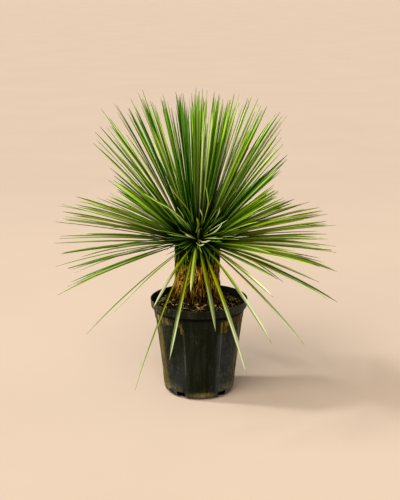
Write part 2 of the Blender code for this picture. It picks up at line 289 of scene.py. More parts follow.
class YuccaTrunkSettings(bpy.types.PropertyGroup):
    """Sizes and colours of the fibrous trunk."""

    strips: count_setting("Strips", "Dead leaf bases that hang on the trunk", 460)
    strip_half_width: length_setting("Strip half width", "Half width of a dead leaf base", 0.0027)
    fibres: count_setting("Fibres", "Loose fibres on the trunk", 700)
    fibre_radius: length_setting("Fibre radius", "Radius of a fibre", 0.00045)
    # Near black; on the core, which shows only in the gaps between the fibres, it is painted shade
    dark: colour_setting("Dark", "Gaps between the fibres", (0.0035, 0.0014, 0.0004))
    brown: colour_setting("Brown", "Weathered fibres", (0.155, 0.072, 0.005))
    # Painted shade: the neck and the head under the leaves are made near black
    neck: colour_setting("Neck", "Dark crowded bases under the head", (0.0006, 0.0010, 0.0002))
    tan: colour_setting("Tan", "Fresh fibres and frayed ends", (0.56, 0.37, 0.055))


class YuccaLeafSettings(bpy.types.PropertyGroup):
    """Sizes and colours of the leaves."""

    half_width: length_setting("Half width", "Half width of a leaf where it is widest", 0.0034)
    old_breadth: amount_setting("Old breadth", "Breadth of the drooping leaves, as a share of usual", 1.36)
    thickness: length_setting("Thickness", "Thickness of a leaf along its middle", 0.0014)
    channel: length_setting("Channel", "Depth of the channel along a leaf", 0.0015)
    loose_roll: amount_setting("Loose roll", "Roll of the leaves in the tiers, as a share of usual", 1.7)
    facing: angle_setting("Facing", "How far the leaves at the sides turn their faces to the front", 0.45)
    rows: count_setting("Rows", "Sections along a leaf", 18)
    corners: count_setting("Corners", "Points round a section", 10)
    base_share: share_setting("Base width", "Width at the base, as a share of the widest", 0.40)
    taper: amount_setting("Taper", "How late a leaf narrows to its tip", 4.6)
    between: share_setting("Between", "Share of the places between two spiral leaves that have one", 0.62)
    # Share of a leaf, from its base, that is painted in shade
    crowd: share_setting("Crowding", "Share of a leaf, from its base, that stands in the dark", 0.36)
    stubs: count_setting("Old leaf bases", "Green leaf bases round the neck", 300)
    heart: count_setting("Heart leaves", "Thin leaves that spread from the heart", 54)
    young: count_setting("Young leaves", "Curled young leaves besides the largest", 10)
    # Colour of the painted shade over crowded bases
    shade: colour_setting("Shade", "Crowded bases deep in the heart", (0.0004, 0.0030, 0.0002))
    deep: colour_setting("Deep green", "Dark side of the colour range", (0.038, 0.186, 0.0010))
    fresh: colour_setting("Fresh green", "Bright side of the colour range", (0.174, 0.322, 0.005))
    old: colour_setting("Old green", "Leaves that droop", (0.134, 0.176, 0.001))
    # Bleaching on old leaves, and the colour of painted highlight and reflection
    glaze: colour_setting("Glaze", "Bleached faces of old leaves and glossy streaks", (0.340, 0.390, 0.240))
    straw: colour_setting("Straw", "Dry spots", (0.30, 0.21, 0.07))
    tip: colour_setting("Tip", "The hard point of a leaf", (0.085, 0.100, 0.015))


class YuccaStageSettings(bpy.types.PropertyGroup):
    """Sizes, colours and strengths of the stage."""

    radius: length_setting("Radius", "How far the floor reaches", 60.0)
    floor: colour_setting("Floor", "Plain floor", (0.44, 0.372, 0.315))
    backdrop: colour_setting("Backdrop", "Plain backdrop, as bright as the lit floor", (0.840, 0.648, 0.482))
    backdrop_height: length_setting("Backdrop height", "Height of the backdrop round the floor", 14.0)
    sky: colour_setting("Sky", "Colour of the light from all round", (1.0, 0.88, 0.75))
    sky_strength: amount_setting("Sky strength", "Light from all round", 0.45)
    key: colour_setting("Key", "Colour of the main light", (1.0, 0.96, 0.89))
    key_strength: amount_setting("Key strength", "Irradiance of the main light", 2.75)
    key_azimuth: angle_setting("Key azimuth", "Main light's place, from front to +X", math.radians(-96.0))
    key_elevation: angle_setting("Key elevation", "Main light's height over the floor", math.radians(40.0))
    fill_strength: amount_setting("Fill strength", "Irradiance of the soft front light", 4.6)
    fill_azimuth: angle_setting("Fill azimuth", "Fill light's place, from front to +X", math.radians(-28.0))
    fill_elevation: angle_setting("Fill elevation", "Fill light's height over the floor", math.radians(42.0))


SETTINGS = {
    "yucca_pot": YuccaPotSettings,
    "yucca_soil": YuccaSoilSettings,
    "yucca_trunk": YuccaTrunkSettings,
    "yucca_leaf": YuccaLeafSettings,
    "yucca_stage": YuccaStageSettings,
}


# ---- Shader expressions -------------------------------------------------------------------


class Wire:
    """A node's output value, so that shader maths reads as an ordinary expression."""

    def __init__(self, finish, socket):
        self.finish = finish
        self.socket = socket

    def maths(self, operation, *values):
        """Add a Math node."""
        return self.finish.node("Math", {"operation": operation}, dict(enumerate(values)))

    def __add__(self, other):
        return self.maths("ADD", self, other)

    def __sub__(self, other):
        return self.maths("SUBTRACT", self, other)

    def __rsub__(self, other):
        return self.maths("SUBTRACT", other, self)

    def __mul__(self, other):
        return self.maths("MULTIPLY", self, other)

    def __pow__(self, other):
        return self.maths("POWER", self, other)

    def __abs__(self):
        return self.maths("ABSOLUTE", self)

    __radd__ = __add__
    __rmul__ = __mul__


class Finish:
    """A material in the making: its nodes and its Principled shader."""

    def __init__(self, name, **constants):
        self.material = bpy.data.materials.new(name)
        self.material.use_nodes = True
        self.tree = self.material.node_tree
        self.shader = self.tree.nodes["Principled BSDF"]
        for label, value in constants.items():
            self.shader.inputs[label.replace("_", " ")].default_value = value

    def feed(self, socket, value):
        """Link a wire to a socket, or set the socket to a number, a vector or a colour."""
        if isinstance(value, Wire):
            self.tree.links.new(value.socket, socket)
        elif socket.type == "RGBA":
            socket.default_value = (*value, 1.0)
        else:
            socket.default_value = value

    def node(self, kind, settings, inputs, output=0):
        """Add a shader node, set it, feed its sockets and hand back one of its outputs."""
        node = self.tree.nodes.new("ShaderNode" + kind)
        for label, value in settings.items():
            setattr(node, label, value)
        for label, value in inputs.items():
            self.feed(node.inputs[label], value)
        return Wire(self, node.outputs[output])

    def value(self, name):
        """A number that the mesh holds at each point."""
        return self.node("Attribute", {"attribute_name": name}, {}, "Fac")

    def place(self):
        """Coordinates of the surface in the object's frame."""
        return self.node("TexCoord", {}, {}, "Object")

    def axes(self, vector):
        """The three numbers of a vector."""
        return [self.node("SeparateXYZ", {}, {0: vector}, axis) for axis in range(3)]

    def vector(self, x, y, z):
        """A vector of three numbers."""
        return self.node("CombineXYZ", {}, {0: x, 1: y, 2: z})

    def scaled(self, vector, factors):
        """A vector stretched along its axes."""
        return self.node("VectorMath", {"operation": "MULTIPLY"}, {0: vector, 1: factors})

    def noise(self, vector, scale, detail, roughness, distortion=0.0):
        """Soft noise around one half."""
        inputs = {"Vector": vector, "Scale": scale, "Detail": detail, "Roughness": roughness}
        return self.node("TexNoise", {}, {**inputs, "Distortion": distortion})

    def band(self, value, low, high):
        """Smooth step from 0 at low to 1 at high."""
        inputs = {"Value": value, "From Min": low, "From Max": high}
        return self.node("MapRange", {"interpolation_type": "SMOOTHSTEP"}, inputs)

    def fade(self, value, low, high):
        """Smooth step from 1 at low to 0 at high."""
        return 1.0 - self.band(value, low, high)

    def between(self, value, low, high, soft):
        """Share that is 1 between two limits and fades out past them."""
        return self.band(value, low - soft, low + soft) * self.fade(value, high - soft, high + soft)

    def mix(self, share, first, second):
        """Colour between two colours."""
        return self.node("Mix", {"data_type": "RGBA"}, {0: share, 6: first, 7: second}, 2)

    def shade(self, colour, factor):
        """A colour made darker or brighter by a number."""
        settings = {"data_type": "RGBA", "blend_type": "MULTIPLY"}
        grey = self.vector(factor, factor, factor)
        return self.node("Mix", settings, {0: 1.0, 6: colour, 7: grey}, 2)

    def bump(self, height, distance, strength):
        """Relief that only changes the shading."""
        return self.node("Bump", {}, {"Height": height, "Distance": distance, "Strength": strength})

    def done(self, **inputs):
        """Feed the shader and hand back the material."""
        for label, value in inputs.items():
            self.feed(self.shader.inputs[label.replace("_", " ")], value)
        return self.material


# ---- Bodies -------------------------------------------------------------------------------


class Growth:
    """Closed bodies in the making: points, faces, bake map and the values that shaders read."""

    END_SHARE = 0.03  # share of a map cell kept at each end for the end faces
    CELL_GAP = 0.06  # share of a map cell left empty on each side

    def __init__(self):
        self.points = []
        self.faces = []
        self.places = []
        self.values = {}

    def body(self, rings, cell=WHOLE_MAP, **values):
        """Add a closed body through rings of points. A value is a number, or a function of the
        share along the body and the share round it."""
        first = len(self.points)
        rows = len(rings) - 1
        corners = len(rings[0])
        for ring in rings:
            self.points.extend(ring)
        for name, value in values.items():
            store = self.values.setdefault(name, [])
            if callable(value):
                for row in range(rows + 1):
                    store.extend(value(row / rows, corner / corners) for corner in range(corners))
            else:
                store.extend([value] * (corners * (rows + 1)))
        left, low, right, high = cell
        start = left + (right - left) * 2.0 * self.END_SHARE
        run = (right - left) * (1.0 - 4.0 * self.END_SHARE)
        side = (high - low) * self.CELL_GAP
        spread = high - low - 2.0 * side
        for row in range(rows):
            u = start + run * row / rows
            next_u = start + run * (row + 1) / rows
            for corner in range(corners):
                a = first + row * corners + corner
                b = first + row * corners + (corner + 1) % corners
                self.faces.append((a, b, b + corners, a + corners))
                v = low + side + spread * corner / corners
                next_v = low + side + spread * (corner + 1) / corners
                self.places.extend((u, v, u, next_v, next_u, next_v, next_u, v))
        radius = (right - left) * self.END_SHARE * 0.5
        self.end(range(first + corners - 1, first - 1, -1), left + radius * 2.0, (low + high) / 2.0, radius)
        last = first + rows * corners
        self.end(range(last, last + corners), right - radius * 2.0, (low + high) / 2.0, radius)

    def end(self, corners, u, v, radius):
        """Close a body's end with one face."""
        self.faces.append(tuple(corners))
        for index in range(len(corners)):
            turn = FULL_TURN * index / len(corners)
            self.places.extend((u + radius * math.cos(turn), v + radius * math.sin(turn)))

    def mesh(self, name, sharp_from):
        """Make the mesh, smooth up to an angle in degrees."""
        mesh = bpy.data.meshes.new(name)
        mesh.from_pydata(self.points, [], self.faces)
        layer = mesh.uv_layers.new(name=BAKE_MAP)
        layer.uv.foreach_set("vector", self.places)
        for label, numbers in self.values.items():
            mesh.attributes.new(label, "FLOAT", "POINT").data.foreach_set("value", numbers)
        bm = bmesh.new()
        bm.from_mesh(mesh)
        bmesh.ops.recalc_face_normals(bm, faces=bm.faces[:])
        bm.to_mesh(mesh)
        bm.free()
        mesh.shade_smooth()
        mesh.set_sharp_from_angle(angle=math.radians(sharp_from))
        return mesh


def map_cells(count, columns):
    """Cells of the bake map for a number of long bodies, in columns."""
    rows = math.ceil(count / columns)
    cells = []
    for index in range(count):
        column, row = divmod(index, rows)
        cells.append((column / columns, row / rows, (column + 1) / columns, (row + 1) / rows))
    return cells


def add_piece(name, growth, sharp_from, material, slot, *replaced):
    """Make a piece of the plant, smooth up to an angle in degrees, and tie it to the packed model."""
    mesh = growth.mesh(name, sharp_from)
    mesh.materials.append(material)
    piece = bpy.data.objects.new(name, mesh)
    bpy.context.scene.collection.objects.link(piece)
    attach(piece, BODY)
    if replaced:
        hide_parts(*replaced)
    return piece


def from_front(azimuth):
    """Unit vector on the floor at an azimuth from the front."""
    return Vector((math.sin(azimuth), -math.cos(azimuth), 0.0))


def direction(azimuth, elevation):
    """Unit vector at an azimuth from the front and an elevation over the floor."""
    return from_front(azimuth) * math.cos(elevation) + UP * math.sin(elevation)


def smooth(value, low, high):
    """Smooth step from 0 at low to 1 at high."""
    share = min(max((value - low) / (high - low), 0.0), 1.0)
    return share * share * (3.0 - 2.0 * share)


def rise(angle, low, high):
    """Smooth step of an angle from 0 at low to 1 at high, both in degrees."""
    return smooth(angle, math.radians(low), math.radians(high))


def fall(angle, low, high):
    """Smooth step of an angle from 1 at low to 0 at high, both in degrees."""
    return 1.0 - rise(angle, low, high)


def shares(rows):
    """Shares from 0 to 1 in a number of equal steps."""
    return [row / rows for row in range(rows + 1)]


def sideways(outwards):
    """Level direction at right angles to one on the floor."""
    return Vector((-outwards.y, outwards.x, 0.0))


def by_plant(outwards, radius, height):
    """Point at a radius from the plant's axis and a height, on the side that outwards points to."""
    return PLANT_AXIS + outwards * radius + UP * height


def share_along(along, around):
    """Place along a body, from 0 to 1, as a value of its points."""
    return along


def circle(radius, height, steps, centre=Vector(), shift=None):
    """Points round a vertical axis. shift gives the radius gained at an azimuth and height."""
    ring = []
    for step in range(steps):
        azimuth = FULL_TURN * step / steps
        gained = shift(azimuth, height, radius) if shift else 0.0
        ring.append(centre + from_front(azimuth) * (radius + gained) + UP * height)
    return ring


def interpolated(table, place):
    """Value at a place, from pairs of value and place whose places rise."""
    for (value, low), (next_value, high) in zip(table, table[1:]):
        if place <= high:
            share = max(0.0, (place - low) / (high - low))
            return value + (next_value - value) * share
    return table[-1][0]


# ---- Pot ----------------------------------------------------------------------------------


def wall_radius(height):
    """Outer radius of the pot's straight wall."""
    return WALL_RADIUS_AT_FLOOR + WALL_FLARE * height


def pot_finish(pot):
    """Near-black moulded plastic with a bluish bloom, olive algae, dried dust, scratches and painted light
    and shade.
    """
    finish = Finish("weathered_plastic", Roughness=0.5, Specular_IOR_Level=0.05)
    band, fade, between = finish.band, finish.fade, finish.between
    place = finish.place()
    x, y, z = finish.axes(place)
    azimuth = finish.node("Math", {"operation": "ARCTAN2"}, {0: x, 1: 0.0 - y})
    wear = finish.value("wear")
    outside = finish.value("outside")

    # Clouds and grain, and three kinds of upright streaks
    cloud = finish.noise(place, 17.0, 5.0, 0.62)
    fine = finish.noise(place, 210.0, 3.0, 0.7)
    drawn = finish.noise(finish.scaled(place, (60.0, 60.0, 4.5)), 1.0, 4.0, 0.62)
    streaks = finish.noise(finish.scaled(place, (330.0, 330.0, 9.0)), 1.0, 2.0, 0.5)
    stripes = finish.noise(finish.scaled(place, (125.0, 125.0, 3.5)), 1.0, 2.0, 0.6)
    scuffs = finish.noise(finish.scaled(place, (1.0, 1.0, 3.2)), 19.0, 3.0, 0.55, 0.5)

    # Places on the pot
    rim = band(z, 0.256, 0.259)
    upper = band(z, 0.222, 0.230) * (1.0 - rim)
    wall = 1.0 - upper - rim
    foot = fade(z, 0.010, 0.058)
    sides = band(abs(x), 0.040, 0.110)
    far_left = band(0.0 - x, 0.05, 0.10)
    left_strip = between(azimuth, -1.45, -0.97, 0.06)
    right_strip = between(azimuth, 1.12, 1.60, 0.10)
    left_panel = between(azimuth, -0.93, -0.45, 0.03) * wall * band(z, 0.100, 0.150)
    patches = between(azimuth, -0.46, -0.38, 0.03) + between(azimuth, 0.50, 0.76, 0.03)
    patches = patches * between(z, 0.204, 0.240, 0.003)
    front_foot = between(azimuth, -0.42, 0.50, 0.12) * fade(z, 0.014, 0.030)
    low_left = between(azimuth, -1.10, -0.50, 0.08) * foot
    # Flanks that take the bluish colour as painted reflection
    left_flank = between(azimuth, -0.95, -0.30, 0.08) * fade(z, 0.080, 0.170)
    flank = between(azimuth, 0.46, 1.20, 0.05) + left_flank * 0.35
    flank = flank * wall * fade(z, 0.199, 0.206)

    # Bloom on the plastic, and the same bluish colour as painted reflection on the flanks and the rim's right
    # side
    base = finish.mix(band(drawn, 0.40, 0.70) * 0.26, pot.plastic, pot.bloom)
    base = finish.mix(flank * band(drawn + cloud * 0.5, 0.40, 0.85), base, pot.bloom)
    base = finish.mix(rim * band(x, 0.02, 0.12) * 0.8, base, pot.bloom)

    # Film of algae
    level = cloud * 0.95 + drawn * 0.55 - 0.95 + wall * (left_strip * 0.62 + right_strip * 0.55)
    level = level + upper * (sides * 0.66 - 0.04) + foot * 0.25 + front_foot * 0.34 + patches * 0.72
    level = level + rim * band(0.0 - x, 0.03, 0.12) * 0.50 - flank * 0.15 - left_panel * 0.30
    film = band(level + fine * 0.5 - 0.25, 0.0, 0.60) * outside
    film = film * (0.35 + 0.65 * band(streaks, 0.38, 0.58)) * (0.25 + 0.85 * band(stripes, 0.36, 0.58))
    base = finish.mix(film * 0.92, base, pot.algae)

    # Dust, dried on and scratched in, and pale painted highlight along the flute edges and shoulders
    lines = band(streaks, 0.58, 0.70) * band(cloud, 0.40, 0.62) * (0.20 + sides * 0.8 - left_panel * 0.4)
    base = finish.mix(lines * (0.40 + right_strip * 0.40), base, pot.dust)
    dried = band(stripes + fine * 0.3, 0.66, 0.84) * outside
    dried = dried * (left_strip + right_strip + foot * sides + upper * far_left * 0.45)
    base = finish.mix(dried * 0.50, base, pot.dust)
    rings = fade(abs(scuffs - 0.5), 0.0, 0.022)
    rings = rings * (0.06 + foot * (0.15 + sides * 1.6) + sides * 0.35 + low_left)
    rings = rings + rings * flank * fade(z, 0.090, 0.140)
    base = finish.mix(rings * band(fine, 0.36, 0.60) * 0.42, base, pot.dust)
    silt = band(cloud + fine * 0.5, 0.62, 0.95) * foot * (sides * 0.45 + low_left * 0.35)
    mud = band(cloud + fine * 0.4, 0.42, 0.85) * front_foot * 0.24
    base = finish.mix((silt + mud) * outside, base, pot.dust)
    # Chalky dust on worn places, partly painted highlight on the flute edges and shoulders
    chalk_and_highlight = band(wear * 0.8 + fine * 0.5 + drawn * 0.9 - 0.75, 0.30, 0.95)
    base = finish.mix(chalk_and_highlight * 0.18, base, pot.dust)

    # Painted shade under the rim band and on the rim band away from the sides, and painted shade over the
    # whole inside
    rim_shade = between(z, 0.2470, 0.2560, 0.0015) * 0.92 + rim * (1.0 - sides) * 0.22
    base = finish.shade(base, 1.0 - rim_shade * outside)
    # Fine mottle, and the inside darkened as painted shade
    base = finish.shade(base, (0.60 + fine * 0.80) * (0.20 + outside * 0.80))
    rough = 0.46 + film * 0.28 + chalk_and_highlight * 0.15
    relief = fine * 0.5 + streaks * 0.35 + film * 0.5
    return finish.done(Base_Color=base, Roughness=rough, Normal=finish.bump(relief, 0.0005, 0.6))


def flute_share(azimuth, flutes):
    """Depth of the flutes at an azimuth, from 0 between them to 1 in a flute, and the angle from
    the nearest flute's middle."""
    spacing = FULL_TURN / flutes
    aside = (azimuth - FIRST_FLUTE + spacing / 2.0) % spacing - spacing / 2.0
    return 1.0 - smooth(abs(aside), FLUTE_FLAT, FLUTE_EDGE), aside


def flute_height(height):
    """Share of a flute's full depth at a height."""
    above = 1.0 - smooth(height, FLUTE_TOP - FLUTE_SHOULDER, FLUTE_TOP)
    below = smooth(height, FLUTE_BOTTOM, FLUTE_BOTTOM + FLUTE_RUN_OUT)
    return above * below


def pressed_in(pot, azimuth, height):
    """How far the wall is pressed in at an azimuth and height."""
    return pot.flute_depth * (flute_share(azimuth, pot.flutes)[0] * flute_height(height))


def pot_stations(pot, inset):
    """Radius and height down one side of the pot, from under the rim to the floor."""
    lean = math.atan(WALL_FLARE)
    foot_radius = wall_radius(FOOT_ROUND) - FOOT_ROUND / math.cos(lean)
    top = POT_HEIGHT - pot.rim_depth
    heights = [top, top - 0.004, LEDGE_Z + 0.012, LEDGE_Z + 0.0012, LEDGE_Z]
    stations = [(wall_radius(height) - inset, height) for height in heights]
    rows = 38
    for row in range(rows + 1):
        height = FLUTE_TOP + (FOOT_ROUND + 0.004 - FLUTE_TOP) * row / rows
        stations.append((wall_radius(height) - inset - pot.ledge * smooth(height, 0.03, 0.06), height))
    arc_steps = 12
    for step in range(arc_steps + 1):
        turn = -lean - (math.pi / 2.0 - lean) * step / arc_steps
        radius = foot_radius + (FOOT_ROUND - inset) * math.cos(turn)
        stations.append((radius, FOOT_ROUND + (FOOT_ROUND - inset) * math.sin(turn)))
    return stations


def rim_stations(pot):
    """Radius and height over the rim: round the lip, down the band and up into its hollow."""
    lip = pot.wall / 2.0
    band_low = POT_HEIGHT - pot.rim_depth
    stations = [(RIM_RADIUS - pot.wall - 0.0005, POT_HEIGHT - 0.004)]
    lip_steps = 6
    for step in range(lip_steps + 1):
        turn = math.pi - math.pi * step / lip_steps
        stations.append((RIM_RADIUS - lip + lip * math.cos(turn), POT_HEIGHT - lip + lip * math.sin(turn)))
    for share in shares(8 * pot.rim_ridges)[1:]:
        height = POT_HEIGHT - lip - (pot.rim_depth - lip - RIM_BAND_END) * share
        proud = pot.rim_ridge * (0.5 + 0.5 * math.cos(FULL_TURN * share * pot.rim_ridges))
        radius = RIM_RADIUS + (RIM_SKIRT_RADIUS - RIM_RADIUS) * share
        stations.append((radius - pot.rim_ridge + proud, height))
    hollow = RIM_SKIRT_RADIUS - pot.wall
    return stations + [
        (RIM_SKIRT_RADIUS - 0.0006, band_low + 0.0002),
        (RIM_SKIRT_RADIUS - lip, band_low),
        (hollow, band_low + 0.0004),
        (hollow + 0.0003, (band_low + RIM_HOLLOW_TOP) / 2.0),
        (hollow + 0.0006, RIM_HOLLOW_TOP),
    ]


def pot_rings(pot):
    """Rings over the whole pot, from the middle of its floor inside to the middle underneath, the
    radius and height of each, and the index of the first on the outside."""
    inner = pot_stations(pot, pot.wall)
    outer = pot_stations(pot, 0.0)
    profile = [(POLE_RADIUS, pot.wall)] + inner[::-1] + rim_stations(pot) + outer
    foot = outer[-1][0]
    profile += [(foot - 0.010, 0.0), (foot - 0.012, UNDERSIDE_Z), (POLE_RADIUS, UNDERSIDE_Z)]

    flat_floor = 0.06  # radius of the floor's middle, which stays flat

    def pressed(azimuth, height, radius):
        where = Vector((math.sin(azimuth) * 2.0, math.cos(azimuth) * 2.0, height * 9.0))
        uneven = 0.0004 * noise.noise(where)
        return uneven - pressed_in(pot, azimuth, height) if radius > flat_floor else 0.0

    rings = [circle(radius, height, pot.steps, shift=pressed) for radius, height in profile]
    return rings, profile, len(inner) + 4


def cut_notches(piece, width, height, inner):
    """Cut boxes at the drain notches out of a piece, from outside the foot in to a radius."""
    bm = bmesh.new()
    outer = wall_radius(0.0) + NOTCH_OVERSHOOT
    for index in range(NOTCHES):
        azimuth = FIRST_NOTCH + FULL_TURN * index / NOTCHES
        size = Vector((width, outer - inner, 2.0 * height))
        middle = Matrix.Translation(from_front(azimuth) * (outer + inner) / 2.0)
        shape = middle @ Matrix.Rotation(azimuth, 4, "Z") @ Matrix.Diagonal(size).to_4x4()
        bmesh.ops.create_cube(bm, size=1.0, matrix=shape)
    mesh = bpy.data.meshes.new("notch_cutters")
    bm.to_mesh(mesh)
    bm.free()
    cutter = bpy.data.objects.new("notch_cutters", mesh)
    bpy.context.scene.collection.objects.link(cutter)
    boolean = piece.modifiers.new("notches", "BOOLEAN")
    boolean.operation = "DIFFERENCE"
    boolean.object = cutter
    cut = bpy.data.meshes.new_from_object(piece.evaluated_get(bpy.context.evaluated_depsgraph_get()))
    piece.modifiers.clear()
    piece.data = cut
    bpy.data.objects.remove(cutter, do_unlink=True)


class OBJECT_OT_yucca_pot(bpy.types.Operator):
    """Build the fluted nursery pot with its rim band and drain notches"""

    bl_idname = "object.yucca_pot"
    bl_label = "Nursery Pot"

    def execute(self, context):
        pot = context.scene.yucca_pot
        rings, profile, first_outside = pot_rings(pot)
        last = len(rings) - 1

        def outside(along, around):
            return 1.0 if along * last >= first_outside - 0.5 else 0.0

        # Pale marks: the flute edges, the right-hand ones stronger as painted highlight, the flute shoulders
        # as painted light, and the lip and the rim ridges
        def wear(along, around):
            radius, height = profile[round(along * last)]
            aside = flute_share(FULL_TURN * around, pot.flutes)[1]
            right = math.exp(-(((aside - FLUTE_EDGE) / math.radians(1.3)) ** 2))
            left = math.exp(-(((aside + FLUTE_EDGE) / math.radians(1.0)) ** 2))
            edge = (right + 0.45 * left) * flute_height(height)
            shoulder = math.exp(-(((height - FLUTE_TOP) / 0.0015) ** 2)) * 0.6
            lip = smooth(height, POT_HEIGHT - 0.0025, POT_HEIGHT - 0.0005) * 0.8
            down = (POT_HEIGHT - pot.wall / 2.0 - height) / (pot.rim_depth - pot.wall / 2.0 - RIM_BAND_END)
            ridge = 0.0
            if radius > RIM_SKIRT_RADIUS - 0.001 and 0.0 < down < 1.0:
                ridge = 0.75 * (0.5 + 0.5 * math.cos(FULL_TURN * down * pot.rim_ridges)) ** 3
            return outside(along, around) * max(edge, shoulder, lip, ridge)

        growth = Growth()
        growth.body(rings, wear=wear, outside=outside)
        piece = add_piece("nursery_pot", growth, 35.0, pot_finish(pot), "pot_plastic", "pot")
        cut_notches(piece, pot.notch_width, pot.notch_height, NOTCH_INNER)
        return {"FINISHED"}


# ---- Soil ---------------------------------------------------------------------------------


def soil_finish(name, soil):
    """Bark mix: dark moist hollows, brown chips and dry pale ends."""
    finish = Finish(name, Roughness=0.9, Specular_IOR_Level=0.04)
    place = finish.place()
    tone = finish.value("tone")
    crumb = finish.noise(place, 150.0, 5.0, 0.65)
    grain = finish.noise(finish.scaled(place, (1.0, 1.0, 3.0)), 420.0, 3.0, 0.6)
    colour = finish.mix(finish.band(tone + crumb * 0.6, 0.35, 1.1), soil.dark, soil.bark)
    colour = finish.mix(finish.band(tone + crumb * 0.4, 0.98, 1.20), colour, soil.pale)
    colour = finish.shade(colour, 0.30 + grain * 1.4)
    relief = crumb + grain * 0.6
    return finish.done(Base_Color=colour, Normal=finish.bump(relief, 0.0012, 0.7))


def soil_top(soil, radius, azimuth):
    """Height of the soil's surface at a distance from the plant and an azimuth."""
    height = interpolated(((soil.mound_z, MOUND_RADIUS), (soil.edge_z, SOIL_RADIUS)), radius)
    where = from_front(azimuth) * radius
    height += soil.unevenness * noise.noise(where * 38.0)
    return height + soil.unevenness * 0.5 * noise.noise(where * 110.0 + Vector((4.0, 2.0, 1.0)))


def soil_edge(scene):
    """Radius of the pot's inner side at the soil's surface."""
    return wall_radius(scene.yucca_soil.edge_z) - scene.yucca_pot.wall


def soil_rings(soil, pot, edge):
    """Rings of the soil: the trunk's socket, the surface, and down the pot's inner side."""
    rings = [circle(POLE_RADIUS, TRUNK_FOOT_Z - SOIL_GAP, SOIL_STEPS, PLANT_AXIS)]
    for radius, height in TRUNK_PROFILE[:4]:
        rings.append(circle(radius + 0.001, height, SOIL_STEPS, PLANT_AXIS))
    start = ROOT_RADIUS + 0.0015
    for share in shares(26):
        ring = []
        for step in range(SOIL_STEPS):
            azimuth = FULL_TURN * step / SOIL_STEPS
            inner = PLANT_AXIS + from_front(azimuth) * start
            point = inner.lerp(from_front(azimuth) * edge, share)
            point.z = soil_top(soil, point.xy.length, azimuth)
            ring.append(point)
        rings.append(ring)

    flat_floor = 0.08  # radius of the underside's middle, which stays flat
    slack = 0.0006  # more clearance where the wall is uneven

    def pressed(azimuth, height, radius):
        return -pressed_in(pot, azimuth, height) - slack if radius > flat_floor else 0.0

    for radius, height in pot_stations(pot, pot.wall + SOIL_GAP):
        if height < soil.edge_z - 0.010:
            rings.append(circle(radius, height, SOIL_STEPS, shift=pressed))
    rings.append(circle(POLE_RADIUS, pot.wall + SOIL_GAP, SOIL_STEPS))
    return rings


class OBJECT_OT_yucca_soil(bpy.types.Operator):
    """Build the body of potting mix that fills the pot"""

    bl_idname = "object.yucca_soil"
    bl_label = "Potting Mix"

    def execute(self, context):
        soil, pot = context.scene.yucca_soil, context.scene.yucca_pot
        growth = Growth()
        growth.body(soil_rings(soil, pot, soil_edge(context.scene) - SOIL_GAP), tone=0.12)
        piece = add_piece("potting_mix", growth, 60.0, soil_finish("moist_mix", soil), "soil_mix", "soil")
        # The mix stands back from the notches, so that they stay open
        width, height, inner = pot.notch_width + 0.010, pot.notch_height + 0.006, NOTCH_INNER - 0.020
        cut_notches(piece, width, height, inner)
        return {"FINISHED"}


def chip_rings(chance, middle, length, flat):
    """Rings of a broken bark chip that lies on the soil."""
    turn = Matrix.Rotation(chance.uniform(0.0, FULL_TURN), 3, "Z")
    tilt = Matrix.Rotation(chance.gauss(0.0, 0.45), 3, "X") @ Matrix.Rotation(chance.gauss(0.0, 0.4), 3, "Y")
    corners = 6
    half = length * chance.uniform(0.26, 0.5)
    rings = []
    for share, breadth in ((0.0, 0.30), (0.16, 0.85), (0.55, 1.0), (0.86, 0.8), (1.0, 0.25)):
        spread = breadth * chance.uniform(0.8, 1.15)
        ring = []
        for corner in range(corners):
            angle = FULL_TURN * (corner + chance.uniform(-0.25, 0.25)) / corners
            across = half * spread * math.cos(angle)
            height = half * flat * spread * math.sin(angle)
            ring.append(middle + turn @ (tilt @ Vector((length * (share - 0.5), across, height))))
        rings.append(ring)
    return rings


def sown(chance, inner, outer):
    """Distance and azimuth of a point scattered evenly over a ring of soil."""
    share = chance.random()
    return math.sqrt(inner * inner + (outer * outer - inner * inner) * share), chance.uniform(0.0, FULL_TURN)


class OBJECT_OT_yucca_bark(bpy.types.Operator):
    """Scatter bark chips over the soil"""

    bl_idname = "object.yucca_bark"
    bl_label = "Bark Chips"

    def execute(self, context):
        soil = context.scene.yucca_soil
        chance = random.Random(BARK_SEED)
        growth = Growth()
        edge = soil_edge(context.scene)
        for cell in map_cells(soil.chips, 24):
            length = soil.chip_length * chance.uniform(0.35, 1.0) * chance.uniform(0.6, 1.6)
            radius, azimuth = sown(chance, ROOT_RADIUS - 0.004, edge - length * 0.55)
            height = soil_top(soil, radius, azimuth) + length * chance.uniform(-0.06, 0.12)
            middle = from_front(azimuth) * radius + UP * height
            rings = chip_rings(chance, middle, length, chance.uniform(0.35, 0.8))
            growth.body(rings, cell, tone=chance.random() ** 2.4)
        add_piece("bark_chips", growth, 25.0, soil_finish("bark_chip", soil), "soil_mix")
        return {"FINISHED"}


def strand_rings(points, radius):
    """Rings of a thin strand through points, tapered to both ends."""
    corners = 4
    taper = 0.35
    rings = []
    last = len(points) - 1
    for index, point in enumerate(points):
        ahead = points[min(index + 1, last)] - points[max(index - 1, 0)]
        ahead.normalize()
        side = ahead.cross(Vector((0.13, 0.21, 1.0)) if abs(ahead.z) < 0.9 else Vector((1.0, 0.2, 0.1)))
        side.normalize()
        upper = side.cross(ahead)
        share = index / last
        thick = radius * (taper + (1.0 - taper) * math.sin(math.pi * (0.12 + 0.80 * share)))
        turns = (FULL_TURN * corner / corners for corner in range(corners))
        rings.append([point + side * thick * math.cos(t) + upper * thick * math.sin(t) for t in turns])
    return rings


